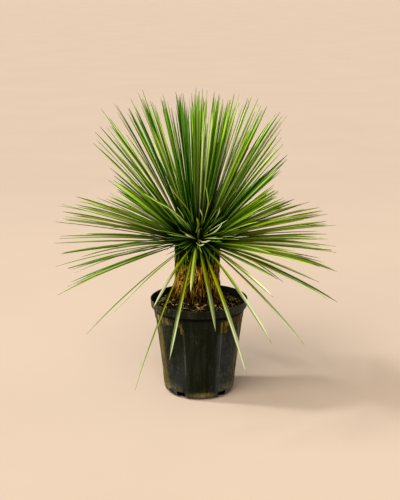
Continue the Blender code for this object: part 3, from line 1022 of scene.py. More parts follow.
class OBJECT_OT_yucca_rootlets(bpy.types.Operator):
    """Lay pale roots and fibres over the soil"""

    bl_idname = "object.yucca_rootlets"
    bl_label = "Rootlets"

    def execute(self, context):
        soil = context.scene.yucca_soil
        chance = random.Random(ROOTLET_SEED)
        growth = Growth()
        steps = 7
        edge = soil_edge(context.scene) - 0.003
        for cell in map_cells(soil.rootlets, 12):
            radius, azimuth = sown(chance, ROOT_RADIUS, edge)
            heading = chance.uniform(0.0, FULL_TURN)
            length = chance.uniform(0.010, 0.038)
            where = from_front(azimuth) * radius
            points = []
            for _ in range(steps + 1):
                heading += chance.gauss(0.0, 0.35)
                if where.length > edge:
                    where *= edge / where.length
                top = soil_top(soil, where.length, math.atan2(where.x, -where.y))
                points.append(where + UP * (top + chance.uniform(0.0010, 0.0036)))
                where = where + Vector((math.cos(heading), math.sin(heading), 0.0)) * length / steps
            rings = strand_rings(points, chance.uniform(0.00025, 0.00065))
            growth.body(rings, cell, tone=chance.uniform(0.55, 1.15))
        add_piece("rootlets", growth, 70.0, soil_finish("rootlet", soil), "soil_mix")
        return {"FINISHED"}


# ---- Trunk --------------------------------------------------------------------------------


def head_ring(share):
    """Radius and height of the head, from its lowest ring at 0 to its top at 1."""
    radius = HEAD_RADIUS * math.sqrt(max(0.0, 1.0 - HEAD_FLATTENING * share * share))
    return radius, HEAD_LOW_Z + (HEAD_TOP_Z - HEAD_LOW_Z) * share


def trunk_radius(height):
    """Radius of the trunk at a height."""
    return interpolated(TRUNK_PROFILE + ((HEAD_RADIUS, HEAD_LOW_Z),), height)


def trunk_finish(trunk):
    """Dead fibre: near-black gaps as painted shade, weathered brown strands, tan frayed ends, darker towards
    the foot, and painted shade on the neck.
    """
    finish = Finish("dead_fibre", Roughness=0.85, Specular_IOR_Level=0.03)
    place = finish.place()
    z = finish.axes(place)[2]
    tone = finish.value("tone")
    along = finish.value("along")
    grain = finish.noise(finish.scaled(place, (1.0, 1.0, 0.16)), 900.0, 3.0, 0.6)
    patch = finish.noise(place, 60.0, 3.0, 0.6)
    level = tone * 1.10 + patch * 0.60 + along * 0.20 - 0.50
    colour = finish.mix(finish.band(level, 0.12, 0.50), trunk.dark, trunk.brown)
    colour = finish.mix(finish.band(level, 0.55, 1.00), colour, trunk.tan)
    # Darker towards the trunk's foot
    low_darkening = finish.fade(z - patch * 0.06, 0.262, 0.304)
    colour = finish.shade(colour, (0.40 + grain * 1.42) * (1.0 - low_darkening * 0.74))
    # Painted shade: the neck and the head under the leaves turn near black
    neck = finish.band(z + patch * 0.02, 0.392, 0.420)
    colour = finish.mix(neck * 0.96, colour, trunk.neck)
    return finish.done(Base_Color=colour, Normal=finish.bump(grain, 0.0006, 0.7))


class OBJECT_OT_yucca_trunk(bpy.types.Operator):
    """Build the trunk's furrowed core and the head that the leaves grow from"""

    bl_idname = "object.yucca_trunk"
    bl_label = "Trunk"

    def execute(self, context):
        rows = 60
        heights = [TRUNK_FOOT_Z + (HEAD_LOW_Z - TRUNK_FOOT_Z) * row / rows for row in range(rows + 1)]
        profile = [(trunk_radius(height), height) for height in heights]
        profile += [head_ring(share) for share in shares(8)[1:]]

        def furrowed(azimuth, height, radius):
            lean = azimuth + 0.25 * noise.noise(Vector((azimuth, height * 14.0, 0.0)))
            around = from_front(lean) * 3.1
            ridge = abs(noise.noise(around * 6.0 + UP * (height * 30.0)))
            return -0.0016 - 0.0055 * ridge if radius > 0.03 else -0.001

        rings = [circle(POLE_RADIUS, TRUNK_FOOT_Z, TRUNK_STEPS, PLANT_AXIS)]
        rings += [circle(radius, height, TRUNK_STEPS, PLANT_AXIS, furrowed) for radius, height in profile]
        rings.append(circle(POLE_RADIUS, profile[-1][1], TRUNK_STEPS, PLANT_AXIS))
        growth = Growth()
        # The low tone paints the core near black, as shade in the gaps between the fibres
        growth.body(rings, tone=0.08, along=0.2)
        material = trunk_finish(context.scene.yucca_trunk)
        add_piece("trunk_core", growth, 60.0, material, "trunk_fibre", "trunk")
        return {"FINISHED"}


def blade_ring(middle, side, upper, half, thickness, channel, corners):
    """One section of a blade: a flat oval folded into a shallow channel."""
    ring = []
    for corner in range(corners):
        turn = FULL_TURN * corner / corners
        across = math.cos(turn)
        height = channel * abs(across) ** 1.4 + thickness / 2.0 * math.sin(turn)
        ring.append(middle + side * half * across + upper * height)
    return ring


def across_blade(along, around):
    """Place across a blade, from one edge at -1 to the other at 1."""
    return math.cos(FULL_TURN * around)


def wandered(lean, bend, share, length, height):
    """Angle round the trunk that a hanging strand has moved by, at a share of its length."""
    return (lean * share + bend * share * (share - 1.0)) * length / trunk_radius(height)


def hanging_strip(chance, azimuth, height, length, half):
    """Rings of a dead leaf base that hangs on the trunk with its lower end lifted."""
    lean = chance.gauss(0.0, 0.20)
    bend = chance.gauss(0.0, 0.35)
    lift = chance.uniform(0.0006, 0.0085)
    roll = chance.gauss(0.0, 0.7)
    rings = []
    for share in shares(6):
        z = height - length * share
        outwards = from_front(azimuth + wandered(lean, bend, share, length, z))
        radius = trunk_radius(z) - 0.0040 + lift * share**2.2 + 0.0016 * math.sin(math.pi * share)
        middle = by_plant(outwards, radius, z)
        side = Matrix.Rotation(roll * share, 3, "Z") @ sideways(outwards)
        narrow = half * (1.0 - 0.62 * share**1.5) * (0.9 + 0.15 * math.sin(9.0 * share + azimuth * 7.0))
        section = (narrow, 0.0009, 0.0008, 8)  # half width, thickness, channel and corners
        rings.append(blade_ring(middle, side, -outwards, *section))
    return rings


class OBJECT_OT_yucca_strips(bpy.types.Operator):
    """Hang dead leaf bases on the trunk"""

    bl_idname = "object.yucca_strips"
    bl_label = "Dead Leaf Bases"

    def execute(self, context):
        trunk = context.scene.yucca_trunk
        chance = random.Random(STRIP_SEED)
        growth = Growth()
        low, high = 0.290, 0.415
        for index, cell in enumerate(map_cells(trunk.strips, 12)):
            azimuth = index * GOLDEN_ANGLE + chance.gauss(0.0, 0.04)
            height = low + (high - low) * index / trunk.strips + chance.gauss(0.0, 0.003)
            length = chance.uniform(0.016, 0.040)
            half = trunk.strip_half_width * chance.uniform(0.6, 1.35)
            rings = hanging_strip(chance, azimuth, height, length, half)
            growth.body(rings, cell, tone=chance.random(), along=share_along)
        add_piece("dead_leaf_bases", growth, 50.0, trunk_finish(trunk), "trunk_fibre")
        return {"FINISHED"}


def trunk_fibre(chance, azimuth, height):
    """Points along a loose fibre on the trunk, which may spread over the soil at its lower end."""
    length = chance.uniform(0.016, 0.052)
    lean = chance.gauss(0.0, 0.28)
    bend = chance.gauss(0.0, 0.5)
    lift = chance.uniform(-0.0006, 0.0040)
    lowest = 0.262
    points = []
    for share in shares(6):
        z = max(height - length * share, lowest)
        outwards = from_front(azimuth + wandered(lean, bend, share, length, z))
        radius = trunk_radius(z) + lift * math.sin(math.pi * (0.15 + 0.85 * share)) + 0.0004
        spread = 1.0 - smooth(height - length * share, 0.270, 0.300)
        radius += spread * chance.uniform(0.004, 0.018)
        points.append(by_plant(outwards, radius, z + spread * 0.012))
    return points


class OBJECT_OT_yucca_fibres(bpy.types.Operator):
    """Lay loose fibres over the trunk and out over the soil at its foot"""

    bl_idname = "object.yucca_fibres"
    bl_label = "Trunk Fibres"

    def execute(self, context):
        trunk = context.scene.yucca_trunk
        chance = random.Random(FIBRE_SEED)
        growth = Growth()
        for cell in map_cells(trunk.fibres, 20):
            azimuth = chance.uniform(0.0, FULL_TURN)
            height = chance.uniform(0.282, 0.412)
            points = trunk_fibre(chance, azimuth, height)
            rings = strand_rings(points, trunk.fibre_radius * chance.uniform(0.6, 1.5))
            growth.body(rings, cell, tone=chance.random(), along=share_along)
        add_piece("trunk_fibres", growth, 70.0, trunk_finish(trunk), "trunk_fibre")
        return {"FINISHED"}


# ---- Leaves -------------------------------------------------------------------------------


def leaf_finish(name, leaf):
    """Leaf: lengthwise streaks, one half painted lit and one in painted shade, edges and crowded base in
    painted shade, painted gloss highlight and a hard tip. Old leaves are bleached towards their tips, partly
    as painted reflection."""
    finish = Finish(name, Roughness=0.5, Specular_IOR_Level=0.04)
    band, mix = finish.band, finish.mix
    along, across, tone, age, crowd = map(finish.value, ("along", "across", "tone", "age", "crowd"))
    own = tone * 61.0  # sets each leaf's pattern apart from the next one's

    def streaks(wide, long, detail, roughness):
        """Noise over the blade, drawn out along it."""
        return finish.noise(finish.vector(across * wide, along * long, own), 1.0, detail, roughness)

    vein = streaks(2.6, 1.6, 3.0, 0.6)
    thread = streaks(11.0, 3.0, 2.0, 0.5)
    blotch = streaks(0.9, 9.0, 3.0, 0.6)

    # Green of the leaf, its brightest streaks painted pale as highlight, and bleached faces on an old one,
    # partly painted reflection
    level = tone * 0.85 + vein * 0.8 + blotch * 0.25
    colour = mix(band(level, 0.58, 1.22), leaf.deep, leaf.fresh)
    colour = mix(band(level, 1.12, 1.52) * 0.50, colour, leaf.glaze)
    colour = mix(band(age * (0.7 + blotch), 0.0, 1.0), colour, leaf.old)
    bleach_and_sheen = band(along + vein * 0.7 + blotch * 0.2 + age * 0.5, 1.33, 1.62) * band(age, 0.50, 0.90)
    colour = mix(bleach_and_sheen * 0.85, colour, leaf.glaze)

    # Halves, one painted lit and the other in painted shade, edges painted darker as shade, and the outer
    # part a little brighter
    old = band(age, 0.70, 1.0)
    halves = 0.34 + old * 0.20 + band(across, -0.25, 0.25) * (1.14 - old * 0.42)
    colour = finish.shade(colour, halves * (0.50 + thread) * (0.68 + tone * 0.60))
    outer = band(along, 0.60, 0.92)
    edge = band(abs(across), 0.66, 0.96)
    colour = finish.shade(colour, 1.0 + outer * 0.15 - edge * (0.5 - outer * 0.35) * (1.0 - age))
    colour = mix(edge * bleach_and_sheen * 0.6, colour, leaf.deep)

    # Dry spots, tip and painted gloss highlight, then painted shade over the crowded bases
    scorch = band(blotch + vein * 0.5, 0.98, 1.10) * band(along, 0.55, 0.95)
    colour = mix(scorch * 0.5, colour, leaf.straw)
    colour = mix(band(along + blotch * 0.03, 0.970, 1.0) * 0.7, colour, leaf.tip)
    # Painted gloss highlight in pale streaks
    gloss_highlight = band(vein + blotch * 0.5, 0.83, 0.98) * band(along, 0.25, 0.6)
    colour = mix(gloss_highlight * 0.60, colour, leaf.glaze)
    dim = band(along + blotch * 0.08, crowd * 2.2 + 0.02, crowd * 0.5)
    colour = mix(dim * 0.74, colour, finish.shade(leaf.deep, 0.16))
    depth = band(along + blotch * 0.06, crowd + 0.06, crowd * 0.30 + 0.02)
    colour = mix(depth, colour, leaf.shade)
    relief = vein * 0.6 + thread * 0.5
    return finish.done(Base_Color=colour, Normal=finish.bump(relief, 0.0004, 0.45))


def leaf_material(name, leaf):
    """The finish of one kind of leaf, made when it is first asked for."""
    return bpy.data.materials.get(name) or leaf_finish(name, leaf)


def spiral_leaf(place, seed):
    """Azimuth, elevation, length, sag, roll and breadth of the leaf at a place on the spiral."""
    chance = random.Random(seed)
    up_spiral = place / (LEAF_COUNT - 1)
    azimuth = place * GOLDEN_ANGLE + chance.uniform(-SCATTER_AZIMUTH, SCATTER_AZIMUTH)
    azimuth = (azimuth + math.pi) % FULL_TURN - math.pi
    elevation = SPIRAL_LOWEST + (SPIRAL_HIGHEST - SPIRAL_LOWEST) * up_spiral
    elevation += chance.uniform(-SCATTER_ELEVATION, SCATTER_ELEVATION)
    elevation = min(elevation, SPIRAL_HIGHEST)
    level = math.cos(elevation)
    spread = WAIST_SPREAD * (1.0 + WAIST_SKEW * math.sin(azimuth))
    waist = math.exp(-((abs(elevation - WAIST_ELEVATION) / spread) ** 3))
    length = REACH - REACH_LOST_SIDEWAYS * level**3 - REACH_LOST_AT_WAIST * waist
    length *= chance.uniform(*REACH_RANGE)
    sag = SAG_UPRIGHT + SAG_SIDEWAYS * level * chance.uniform(*SAG_RANGE)
    roll = chance.uniform(-SCATTER_ROLL, SCATTER_ROLL)
    return azimuth, elevation, length, sag, roll, chance.uniform(*LEAF_BREADTH_RANGE)


def in_clearing(azimuth, elevation):
    """Whether a leaf would stand among the drooping leaves at the front."""
    return elevation < CLEARING_BELOW and abs(azimuth) < FRONT_CLEARING


def on_left(azimuth):
    """How far to the left of the plant, seen from the front, an azimuth is, from 0 to 1."""
    return smooth(-math.sin(azimuth), 0.1, 0.6)


def side_fan(elevation):
    """How far an elevation is within the fan of leaves that stand out level, from 0 to 1."""
    return rise(elevation, -7.0, -2.0) * fall(elevation, 13.0, 20.0)


def leaf_has_grown(leaf, index, between, azimuth, elevation):
    """Whether a place on the spiral has a leaf: the head is open round its heart at the front, and
    thinner low down, up to a greater height on its left."""
    if in_clearing(azimuth, elevation) or from_heart(azimuth, elevation) < HEART_OPENING:
        return False
    chance = random.Random(THINNING_SEED + index).random()
    left, right = on_left(azimuth), on_left(-azimuth)
    slanting = (1.0 - smooth(abs(math.sin(azimuth)), 0.75, 0.95)) * side_fan(elevation)
    thinned = (
        0.40 * fall(elevation, -12.0, 0.0),
        0.55 * (left * fall(elevation, -3.0, 6.0)),
        0.60 * (right * fall(elevation, -11.0, -4.0)),
        0.16 * (left * rise(elevation, 6.0, 14.0) * fall(elevation, 48.0, 58.0)),
        slanting * (left * 0.45 + right * 0.20),
    )
    kept = math.prod(1.0 - share for share in thinned)
    if between:
        fan = (left + right) * side_fan(elevation)
        kept *= (leaf.between + 0.35 * fan) * (1.0 - 0.35 * rise(elevation, 45.0, 70.0))
    return chance < kept


def reached(azimuth, elevation):
    """How much longer a leaf of the tiers grows in the fans at the sides and at the shoulders."""
    aside = smooth(abs(math.sin(azimuth)), 0.3, 0.9)
    shoulder = rise(elevation, 40.0, 50.0) * fall(elevation, 66.0, 76.0)
    shoulder *= 0.035 + 0.035 * on_left(azimuth)
    return 1.0 + aside * (0.055 * side_fan(elevation) + shoulder)


def tufted(index, azimuth, elevation):
    """Azimuth and elevation of a leaf drawn towards the middle of the tuft that it belongs to."""
    share = random.Random(TUFT_SEED + index).random() ** 0.8
    across = math.sin(azimuth) * math.cos(elevation)
    turn = math.atan2(math.sin(elevation), across)
    turn -= share * TUFT / FULL_TURN * math.sin(turn * FULL_TURN / TUFT)
    flat = math.hypot(math.sin(elevation), across)
    forward = math.cos(azimuth) * math.cos(elevation)
    return math.atan2(flat * math.cos(turn), forward), math.asin(flat * math.sin(turn))


def from_heart(azimuth, elevation):
    """Angle between a leaf's direction and the one that the open heart faces."""
    return direction(azimuth, elevation).angle(direction(0.0, HEART_ELEVATION))


def leaf_course(azimuth, elevation, length, sag, roll, rows, sway=0.0, twist=0.0):
    """Middle, side and upper directions of a leaf at each row from base to tip."""
    share = min(max((elevation - HEAD_LOWEST) / (SPIRAL_HIGHEST - HEAD_LOWEST), 0.0), 1.0)
    radius, height = head_ring(share)
    outwards = from_front(azimuth)
    level = sideways(outwards)
    start = by_plant(outwards, radius, height)
    start -= direction(azimuth, elevation + sag / 2.0) * LEAF_ROOT
    course = []
    step = (length + LEAF_ROOT) / rows
    for row in range(rows + 1):
        share = row / rows
        slope = elevation + sag * (0.5 + 0.5 / LEAF_ROWS - (row + 0.5) / rows)
        tangent = direction(azimuth, slope)
        side = Matrix.Rotation(roll + twist * (share - 0.3), 3, tangent) @ level
        middle = start + level * sway * length * share * share
        course.append((middle, side, tangent.cross(side)))
        start = start + tangent * step
    return course


def leaf_width(along, leaf):
    """Half width of a leaf at a share of its length, narrowed towards the base and the tip."""
    taper = max(0.0, (along - LEAF_WIDEST) / (1.0 - LEAF_WIDEST)) ** leaf.taper
    share = leaf.base_share + (1.0 - leaf.base_share) * smooth(along, -0.05, LEAF_WIDEST)
    return leaf.half_width * share * (1.0 - taper)


def leaf_rings(leaf, course, breadth):
    """Rings of a leaf along its course, tapered to a needle point."""
    rings = []
    rows = len(course) - 1
    for row, (middle, side, upper) in enumerate(course):
        half = max(leaf_width(row / rows, leaf) * breadth, THINNEST_HALF_WIDTH)
        slim = min(1.0, half / (0.45 * leaf.half_width))
        thick = max(leaf.thickness * slim, THINNEST_LEAF)
        channel = leaf.channel * (half / leaf.half_width) ** 1.2
        rings.append(blade_ring(middle, side, upper, half, thick, channel, leaf.corners))
    return rings


def grow_leaf(growth, leaf, course, breadth, tone, age, crowd, cell=WHOLE_MAP):
    """Add a leaf to a growth, with the values that its finish reads. Its painted lit half is on either hand.
    """
    rings = leaf_rings(leaf, course, breadth)
    hand = 1.0 if tone * 7.0 % 1.0 < 0.5 else -1.0

    def across(along, around):
        return hand * across_blade(along, around)

    growth.body(rings, cell, along=share_along, across=across, tone=tone, age=age, crowd=crowd)


def seated(node, course):
    """Stop if a leaf's course has left its packed node."""
    low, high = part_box(node)
    margin = 0.01
    tip = course[-1][0]
    if any(not low[axis] - margin <= tip[axis] <= high[axis] + margin for axis in range(3)):
        raise RuntimeError(f"the leaf for {node} ends at {tip}, outside {low} to {high}")


def darkened(leaf, azimuth, elevation):
    """Share of a leaf, from its base, painted in shade, which is larger close round the heart."""
    near = 1.0 - smooth(from_heart(azimuth, elevation), HEART_OPENING, HEART_OPENING * 2.0)
    return leaf.crowd * (1.0 + 0.22 * near)


def leaf_look(index, azimuth, elevation):
    """Sway, twist, tone and age of a leaf, the same on each run. The tone is lower on the left, most
    low down, as painted shade, and higher near the top, less on the left, as painted light.
    """
    chance = random.Random(LOOK_SEED + index)
    sway = chance.gauss(0.0, 0.008)
    twist = chance.gauss(0.0, 0.5)
    left = on_left(azimuth)
    low_down = fall(elevation, 5.0, 55.0)
    left_low = left * fall(elevation, -8.0, 4.0)
    # Random tone, lowered on the left as painted shade and raised near the top as painted light
    tone = chance.random() * (1.0 - 0.45 * left_low) * (1.0 - 0.36 * left * low_down)
    tone += rise(elevation, 48.0, 70.0) * (0.16 - 0.22 * left)
    age = low_down * (0.40 + 0.34 * chance.random() + 0.10 * left) * (1.0 - 0.5 * left_low)
    return sway, twist, tone, age


def turned_forward(leaf, azimuth, elevation=0.0):
    """Roll that turns a leaf's face to the front, which is largest at the sides."""
    return leaf.facing * math.sin(azimuth) * math.cos(elevation)


class OBJECT_OT_yucca_leaves(bpy.types.Operator):
    """Build the spiral's leaves that the packed model has as solids"""

    bl_idname = "object.yucca_leaves"
    bl_label = "Spiral Leaves"

    def execute(self, context):
        leaf = context.scene.yucca_leaf
        material = leaf_material("green_leaf", leaf)
        number = 0
        for index in range(0, LEAF_COUNT, MODELLED_EVERY):
            *shape, breadth = spiral_leaf(index, SEED + index)
            if in_clearing(shape[0], shape[1]):
                continue
            number += 1
            sway, twist, tone, age = leaf_look(index, *shape[:2])
            shape[4] += turned_forward(leaf, *shape[:2])
            course = leaf_course(*shape, leaf.rows, sway, twist)
            seated(f"leaf_{number:02d}", course)
            growth = Growth()
            grow_leaf(growth, leaf, course, breadth, tone, age, darkened(leaf, *shape[:2]))
            name = f"leaf_blade_{number:02d}"
            add_piece(name, growth, SMOOTH_BLADE, material, "leaf_green", f"leaf_{number:02d}")
        return {"FINISHED"}


class OBJECT_OT_yucca_drooping_leaves(bpy.types.Operator):
    """Build the old leaves that droop round the pot"""

    bl_idname = "object.yucca_drooping_leaves"
    bl_label = "Drooping Leaves"

    def execute(self, context):
        leaf = context.scene.yucca_leaf
        material = leaf_material("old_leaf", leaf)
        for number, (azimuth, elevation, length, breadth) in enumerate(DROOPING_LEAVES, 1):
            chance = random.Random(DROOPING_SEED + number)
            turn = math.radians(azimuth)
            shape = (turn, math.radians(elevation), length, DROOP_SAG, turned_forward(leaf, turn))
            course = leaf_course(*shape, leaf.rows + 8, chance.gauss(0.0, 0.006), chance.gauss(0.0, 0.35))
            node = f"drooping_leaf_{number:02d}"
            seated(node, course)
            growth = Growth()
            breadth *= leaf.old_breadth * (1.0 - 0.45 * on_left(turn) + 0.15 * on_left(-turn))
            greener = (0.40 - 0.15 * math.sin(turn)) * smooth(abs(azimuth), 35.0, 55.0)
            age = chance.uniform(0.6, 1.0) * (1.0 - greener)
            # Random tone, lowered on the left as painted shade
            tone = chance.random() * (1.0 - 0.5 * on_left(turn))
            grow_leaf(growth, leaf, course, breadth, tone, age, 0.14)
            name = f"drooping_blade_{number:02d}"
            add_piece(name, growth, SMOOTH_BLADE, material, "old_leaf_green", node)
        return {"FINISHED"}


class OBJECT_OT_yucca_leaf_tiers(bpy.types.Operator):
    """Build the rest of the spiral's leaves, in tiers from the lowest up"""

    bl_idname = "object.yucca_leaf_tiers"
    bl_label = "Leaf Tiers"

    def execute(self, context):
        leaf = context.scene.yucca_leaf
        material = leaf_material("green_leaf", leaf)
        tiers = 8
        members = [[] for _ in range(tiers)]
        for index in range(2 * LEAF_COUNT - 1):
            place, between = divmod(index, 2)
            *shape, breadth = spiral_leaf(place, BETWEEN_SEED + index if between else SEED + place)
            grown = leaf_has_grown(leaf, index, between, *shape[:2])
            if (between or place % MODELLED_EVERY) and grown:
                members[index * tiers // (2 * LEAF_COUNT)].append((index, shape, breadth))
        for tier, leaves in enumerate(members, 1):
            growth = Growth()
            for cell, (index, shape, breadth) in zip(map_cells(len(leaves), 2), leaves):
                sway, twist, tone, age = leaf_look(index, *shape[:2])
                shape[2] *= reached(*shape[:2])
                shape[:2] = tufted(index, *shape[:2])
                shape[4] = shape[4] * leaf.loose_roll + turned_forward(leaf, *shape[:2])
                course = leaf_course(*shape, leaf.rows, sway * 1.8, twist)
                grow_leaf(growth, leaf, course, breadth, tone, age, darkened(leaf, *shape[:2]), cell)
            add_piece(f"leaf_tier_{tier}", growth, SMOOTH_BLADE, material, "leaf_green")
        return {"FINISHED"}


class OBJECT_OT_yucca_stubs(bpy.types.Operator):
    """Build the green leaf bases that hang round the neck, under the living leaves"""

    bl_idname = "object.yucca_stubs"
    bl_label = "Old Leaf Bases"

    def execute(self, context):
        leaf = context.scene.yucca_leaf
        chance = random.Random(STUB_SEED)
        growth = Growth()
        for index, cell in enumerate(map_cells(leaf.stubs, 6)):
            azimuth = index * GOLDEN_ANGLE + chance.gauss(0.0, 0.05)
            top = 0.412 + 0.040 * index / leaf.stubs
            length = chance.uniform(0.026, 0.056)
            lean = chance.gauss(0.0, 0.22)
            lift = chance.uniform(0.001, 0.007)
            half = leaf.half_width * chance.uniform(0.28, 0.62)
            rings = []
            for share in shares(9):
                z = top - length * share
                outwards = from_front(azimuth + lean * share * length / HEAD_RADIUS)
                radius = trunk_radius(z) - 0.002 + lift * math.sin(math.pi * (0.1 + 0.75 * share))
                middle = by_plant(outwards, radius, z)
                narrow = half * (1.0 - 0.25 * share) * (1.0 - smooth(share, 0.72, 1.08) * 0.95)
                section = (narrow, 0.0014, 0.0012, 10)  # half width, thickness, channel and corners
                rings.append(blade_ring(middle, sideways(outwards), -outwards, *section))
            # Five bases in six are painted in shade over their whole length
            growth.body(
                rings, cell, along=lambda along, around: 0.10 + 0.86 * along, across=across_blade,
                tone=chance.random(), age=0.0, crowd=0.3 if index % 6 == 0 else 2.4,
            )
        add_piece("old_leaf_bases", growth, SMOOTH_BLADE, leaf_material("green_leaf", leaf), "leaf_green")
        return {"FINISHED"}


def curve_through(points, steps):
    """Points along a smooth curve through a few points."""
    padded = [points[0] * 2.0 - points[1], *points, points[-1] * 2.0 - points[-2]]
    curve = []
    for before, start, end, after in zip(padded, padded[1:], padded[2:], padded[3:]):
        for step in range(steps):
            share = step / steps
            bend = (end - before) * 0.5 * share
            square = before - start * 2.5 + end * 2.0 - after * 0.5
            cube = (start - end) * 1.5 + (after - before) * 0.5
            curve.append(start + bend + square * share**2 + cube * share**3)
    curve.append(points[-1])
    return curve


def faced_course(curve, facing, twist):
    """Middle, side and upper directions of a blade along a curve, with its face turned one way."""
    course = []
    last = len(curve) - 1
    for index, middle in enumerate(curve):
        tangent = (curve[min(index + 1, last)] - curve[max(index - 1, 0)]).normalized()
        side = tangent.cross(facing).normalized()
        side = Matrix.Rotation(twist * (index / last - 0.3), 3, tangent) @ side
        course.append((middle, side, side.cross(tangent)))
    return course


class OBJECT_OT_yucca_heart_leaves(bpy.types.Operator):
    """Build the thin leaves that spread from the heart on all sides"""

    bl_idname = "object.yucca_heart_leaves"
    bl_label = "Heart Leaves"

    def execute(self, context):
        leaf = context.scene.yucca_leaf
        chance = random.Random(HEART_SEED)
        growth = Growth()
        facing = direction(0.0, HEART_ELEVATION)
        right = Vector((1.0, 0.0, 0.0))
        above = facing.cross(right)
        middle = by_plant(from_front(0.0), HEAD_RADIUS - 0.014, HEART_Z)
        for index, cell in enumerate(map_cells(leaf.heart, 3)):
            turn = index * GOLDEN_ANGLE + chance.gauss(0.0, 0.06)
            outwards = right * math.cos(turn) + above * math.sin(turn)
            opening = math.radians(chance.uniform(32.0, 76.0))
            below = max(0.0, -math.sin(turn))
            length = chance.uniform(0.070, 0.150) * (1.0 - 0.55 * below)
            start = middle + outwards * chance.uniform(0.002, 0.016)
            bend = chance.uniform(-0.1, 0.25)
            points = []
            for share in shares(3):
                angle = opening + bend * share
                heading = facing * math.cos(angle) + outwards * math.sin(angle)
                points.append(start + heading * length * share)
            course = faced_course(curve_through(points, 6), facing, chance.gauss(0.0, 0.5))
            breadth = chance.uniform(0.0009, 0.0017) / leaf.half_width
            bright = chance.random() ** 2.0
            tone = 1.35 * bright * (1.0 - 0.3 * abs(math.sin(turn)))
            # Painted shade reaches further on the darker leaves and on those that point down
            crowd = chance.uniform(0.12, 0.45) * (1.7 - bright) + 0.7 * below * (1.0 - bright)
            grow_leaf(growth, leaf, course, breadth, tone, chance.random() * 0.3, crowd, cell)
        add_piece("heart_leaves", growth, SMOOTH_BLADE, leaf_material("green_leaf", leaf), "leaf_green")
        return {"FINISHED"}


class OBJECT_OT_yucca_young_leaves(bpy.types.Operator):
    """Build the thin young leaves that curl out of the heart"""

    bl_idname = "object.yucca_young_leaves"
    bl_label = "Young Leaves"

    def execute(self, context):
        leaf = context.scene.yucca_leaf
        chance = random.Random(YOUNG_SEED)
        growth = Growth()
        cells = map_cells(len(YOUNG_LEAVES) + leaf.young, 3)
        foot = PLANT_AXIS + UP * HEAD_LOW_Z
        for cell, (half, age, *places) in zip(cells, YOUNG_LEAVES):
            points = [foot + Vector((across, -forward, up)) for across, forward, up in places]
            curve = curve_through(points, 24 // (len(points) - 1))
            course = faced_course(curve, Vector((0.0, -1.0, 0.35)), chance.gauss(0.0, 0.5))
            grow_leaf(growth, leaf, course, half / leaf.half_width, chance.uniform(0.5, 1.1), age, 0.05, cell)
        for cell in cells[len(YOUNG_LEAVES):]:
            azimuth = chance.uniform(0.0, FULL_TURN)
            elevation = math.radians(chance.uniform(30.0, 80.0))
            curl = math.radians(chance.uniform(-50.0, 60.0))
            bend = chance.gauss(0.0, 0.35)
            shape = (azimuth, elevation, chance.uniform(0.05, 0.13), curl, chance.gauss(0.0, 0.5))
            course = leaf_course(*shape, leaf.rows, bend, chance.gauss(0.0, 0.8))
            breadth = chance.uniform(0.0012, 0.0022) / leaf.half_width
            grow_leaf(growth, leaf, course, breadth, chance.random(), 0.6, 0.15, cell)
        add_piece("young_leaves", growth, SMOOTH_BLADE, leaf_material("old_leaf", leaf), "old_leaf_green")
        return {"FINISHED"}


# ---- Stage --------------------------------------------------------------------------------


def stage_finish(stage):
    """Matt plaster with a faint mottle, painted darker away from the plant as a fall-off of light."""
    finish = Finish("stage_plaster", Roughness=0.95, Specular_IOR_Level=0.1)
    place = finish.place()
    cloud = finish.noise(place, 1.4, 4.0, 0.6)
    x, y, _ = finish.axes(place)
    # Painted fall-off of light: the floor darkens away from the plant
    away = finish.band((x * x + y * y) ** 0.5, 0.5, 3.5)
    colour = finish.shade(stage.floor, 0.95 + cloud * 0.10 - away * 0.09)
    return finish.done(Base_Color=colour)


def backdrop_finish(stage):
    """Plain backdrop that stands too far off for the lights to shape it."""
    finish = Finish("stage_backdrop", Roughness=1.0, Specular_IOR_Level=0.0, Emission_Strength=1.0)
    return finish.done(Base_Color=(0.0, 0.0, 0.0), Emission_Color=stage.backdrop)


def add_sun(name, strength, spread, colour, azimuth, elevation):
    """Add a distant light of an angular width in degrees, seen from the floor at a direction."""
    data = bpy.data.lights.new(name, "SUN")
    data.energy = strength
    data.angle = math.radians(spread)
    data.color = colour
    lamp = bpy.data.objects.new(name, data)
    lamp.rotation_euler = direction(azimuth, elevation).to_track_quat("Z", "Y").to_euler()
    bpy.context.scene.collection.objects.link(lamp)


def add_surround(name, points, faces, material):
    """Add a surface of the stage, which isn't part of the plant."""
    mesh = bpy.data.meshes.new(name)
    mesh.from_pydata(points, [], faces)
    mesh.materials.append(material)
    surround = bpy.data.objects.new(name, mesh)
    bpy.context.scene.collection.objects.link(surround)
    return surround


def ring_neighbours(first):
    """Two neighbours on a ring of points that begins at an index, and the two beyond them on the next
    ring, for each step round the stage."""
    for step in range(FLOOR_STEPS):
        a, b = first + step, first + (step + 1) % FLOOR_STEPS
        yield a, b, a + FLOOR_STEPS, b + FLOOR_STEPS


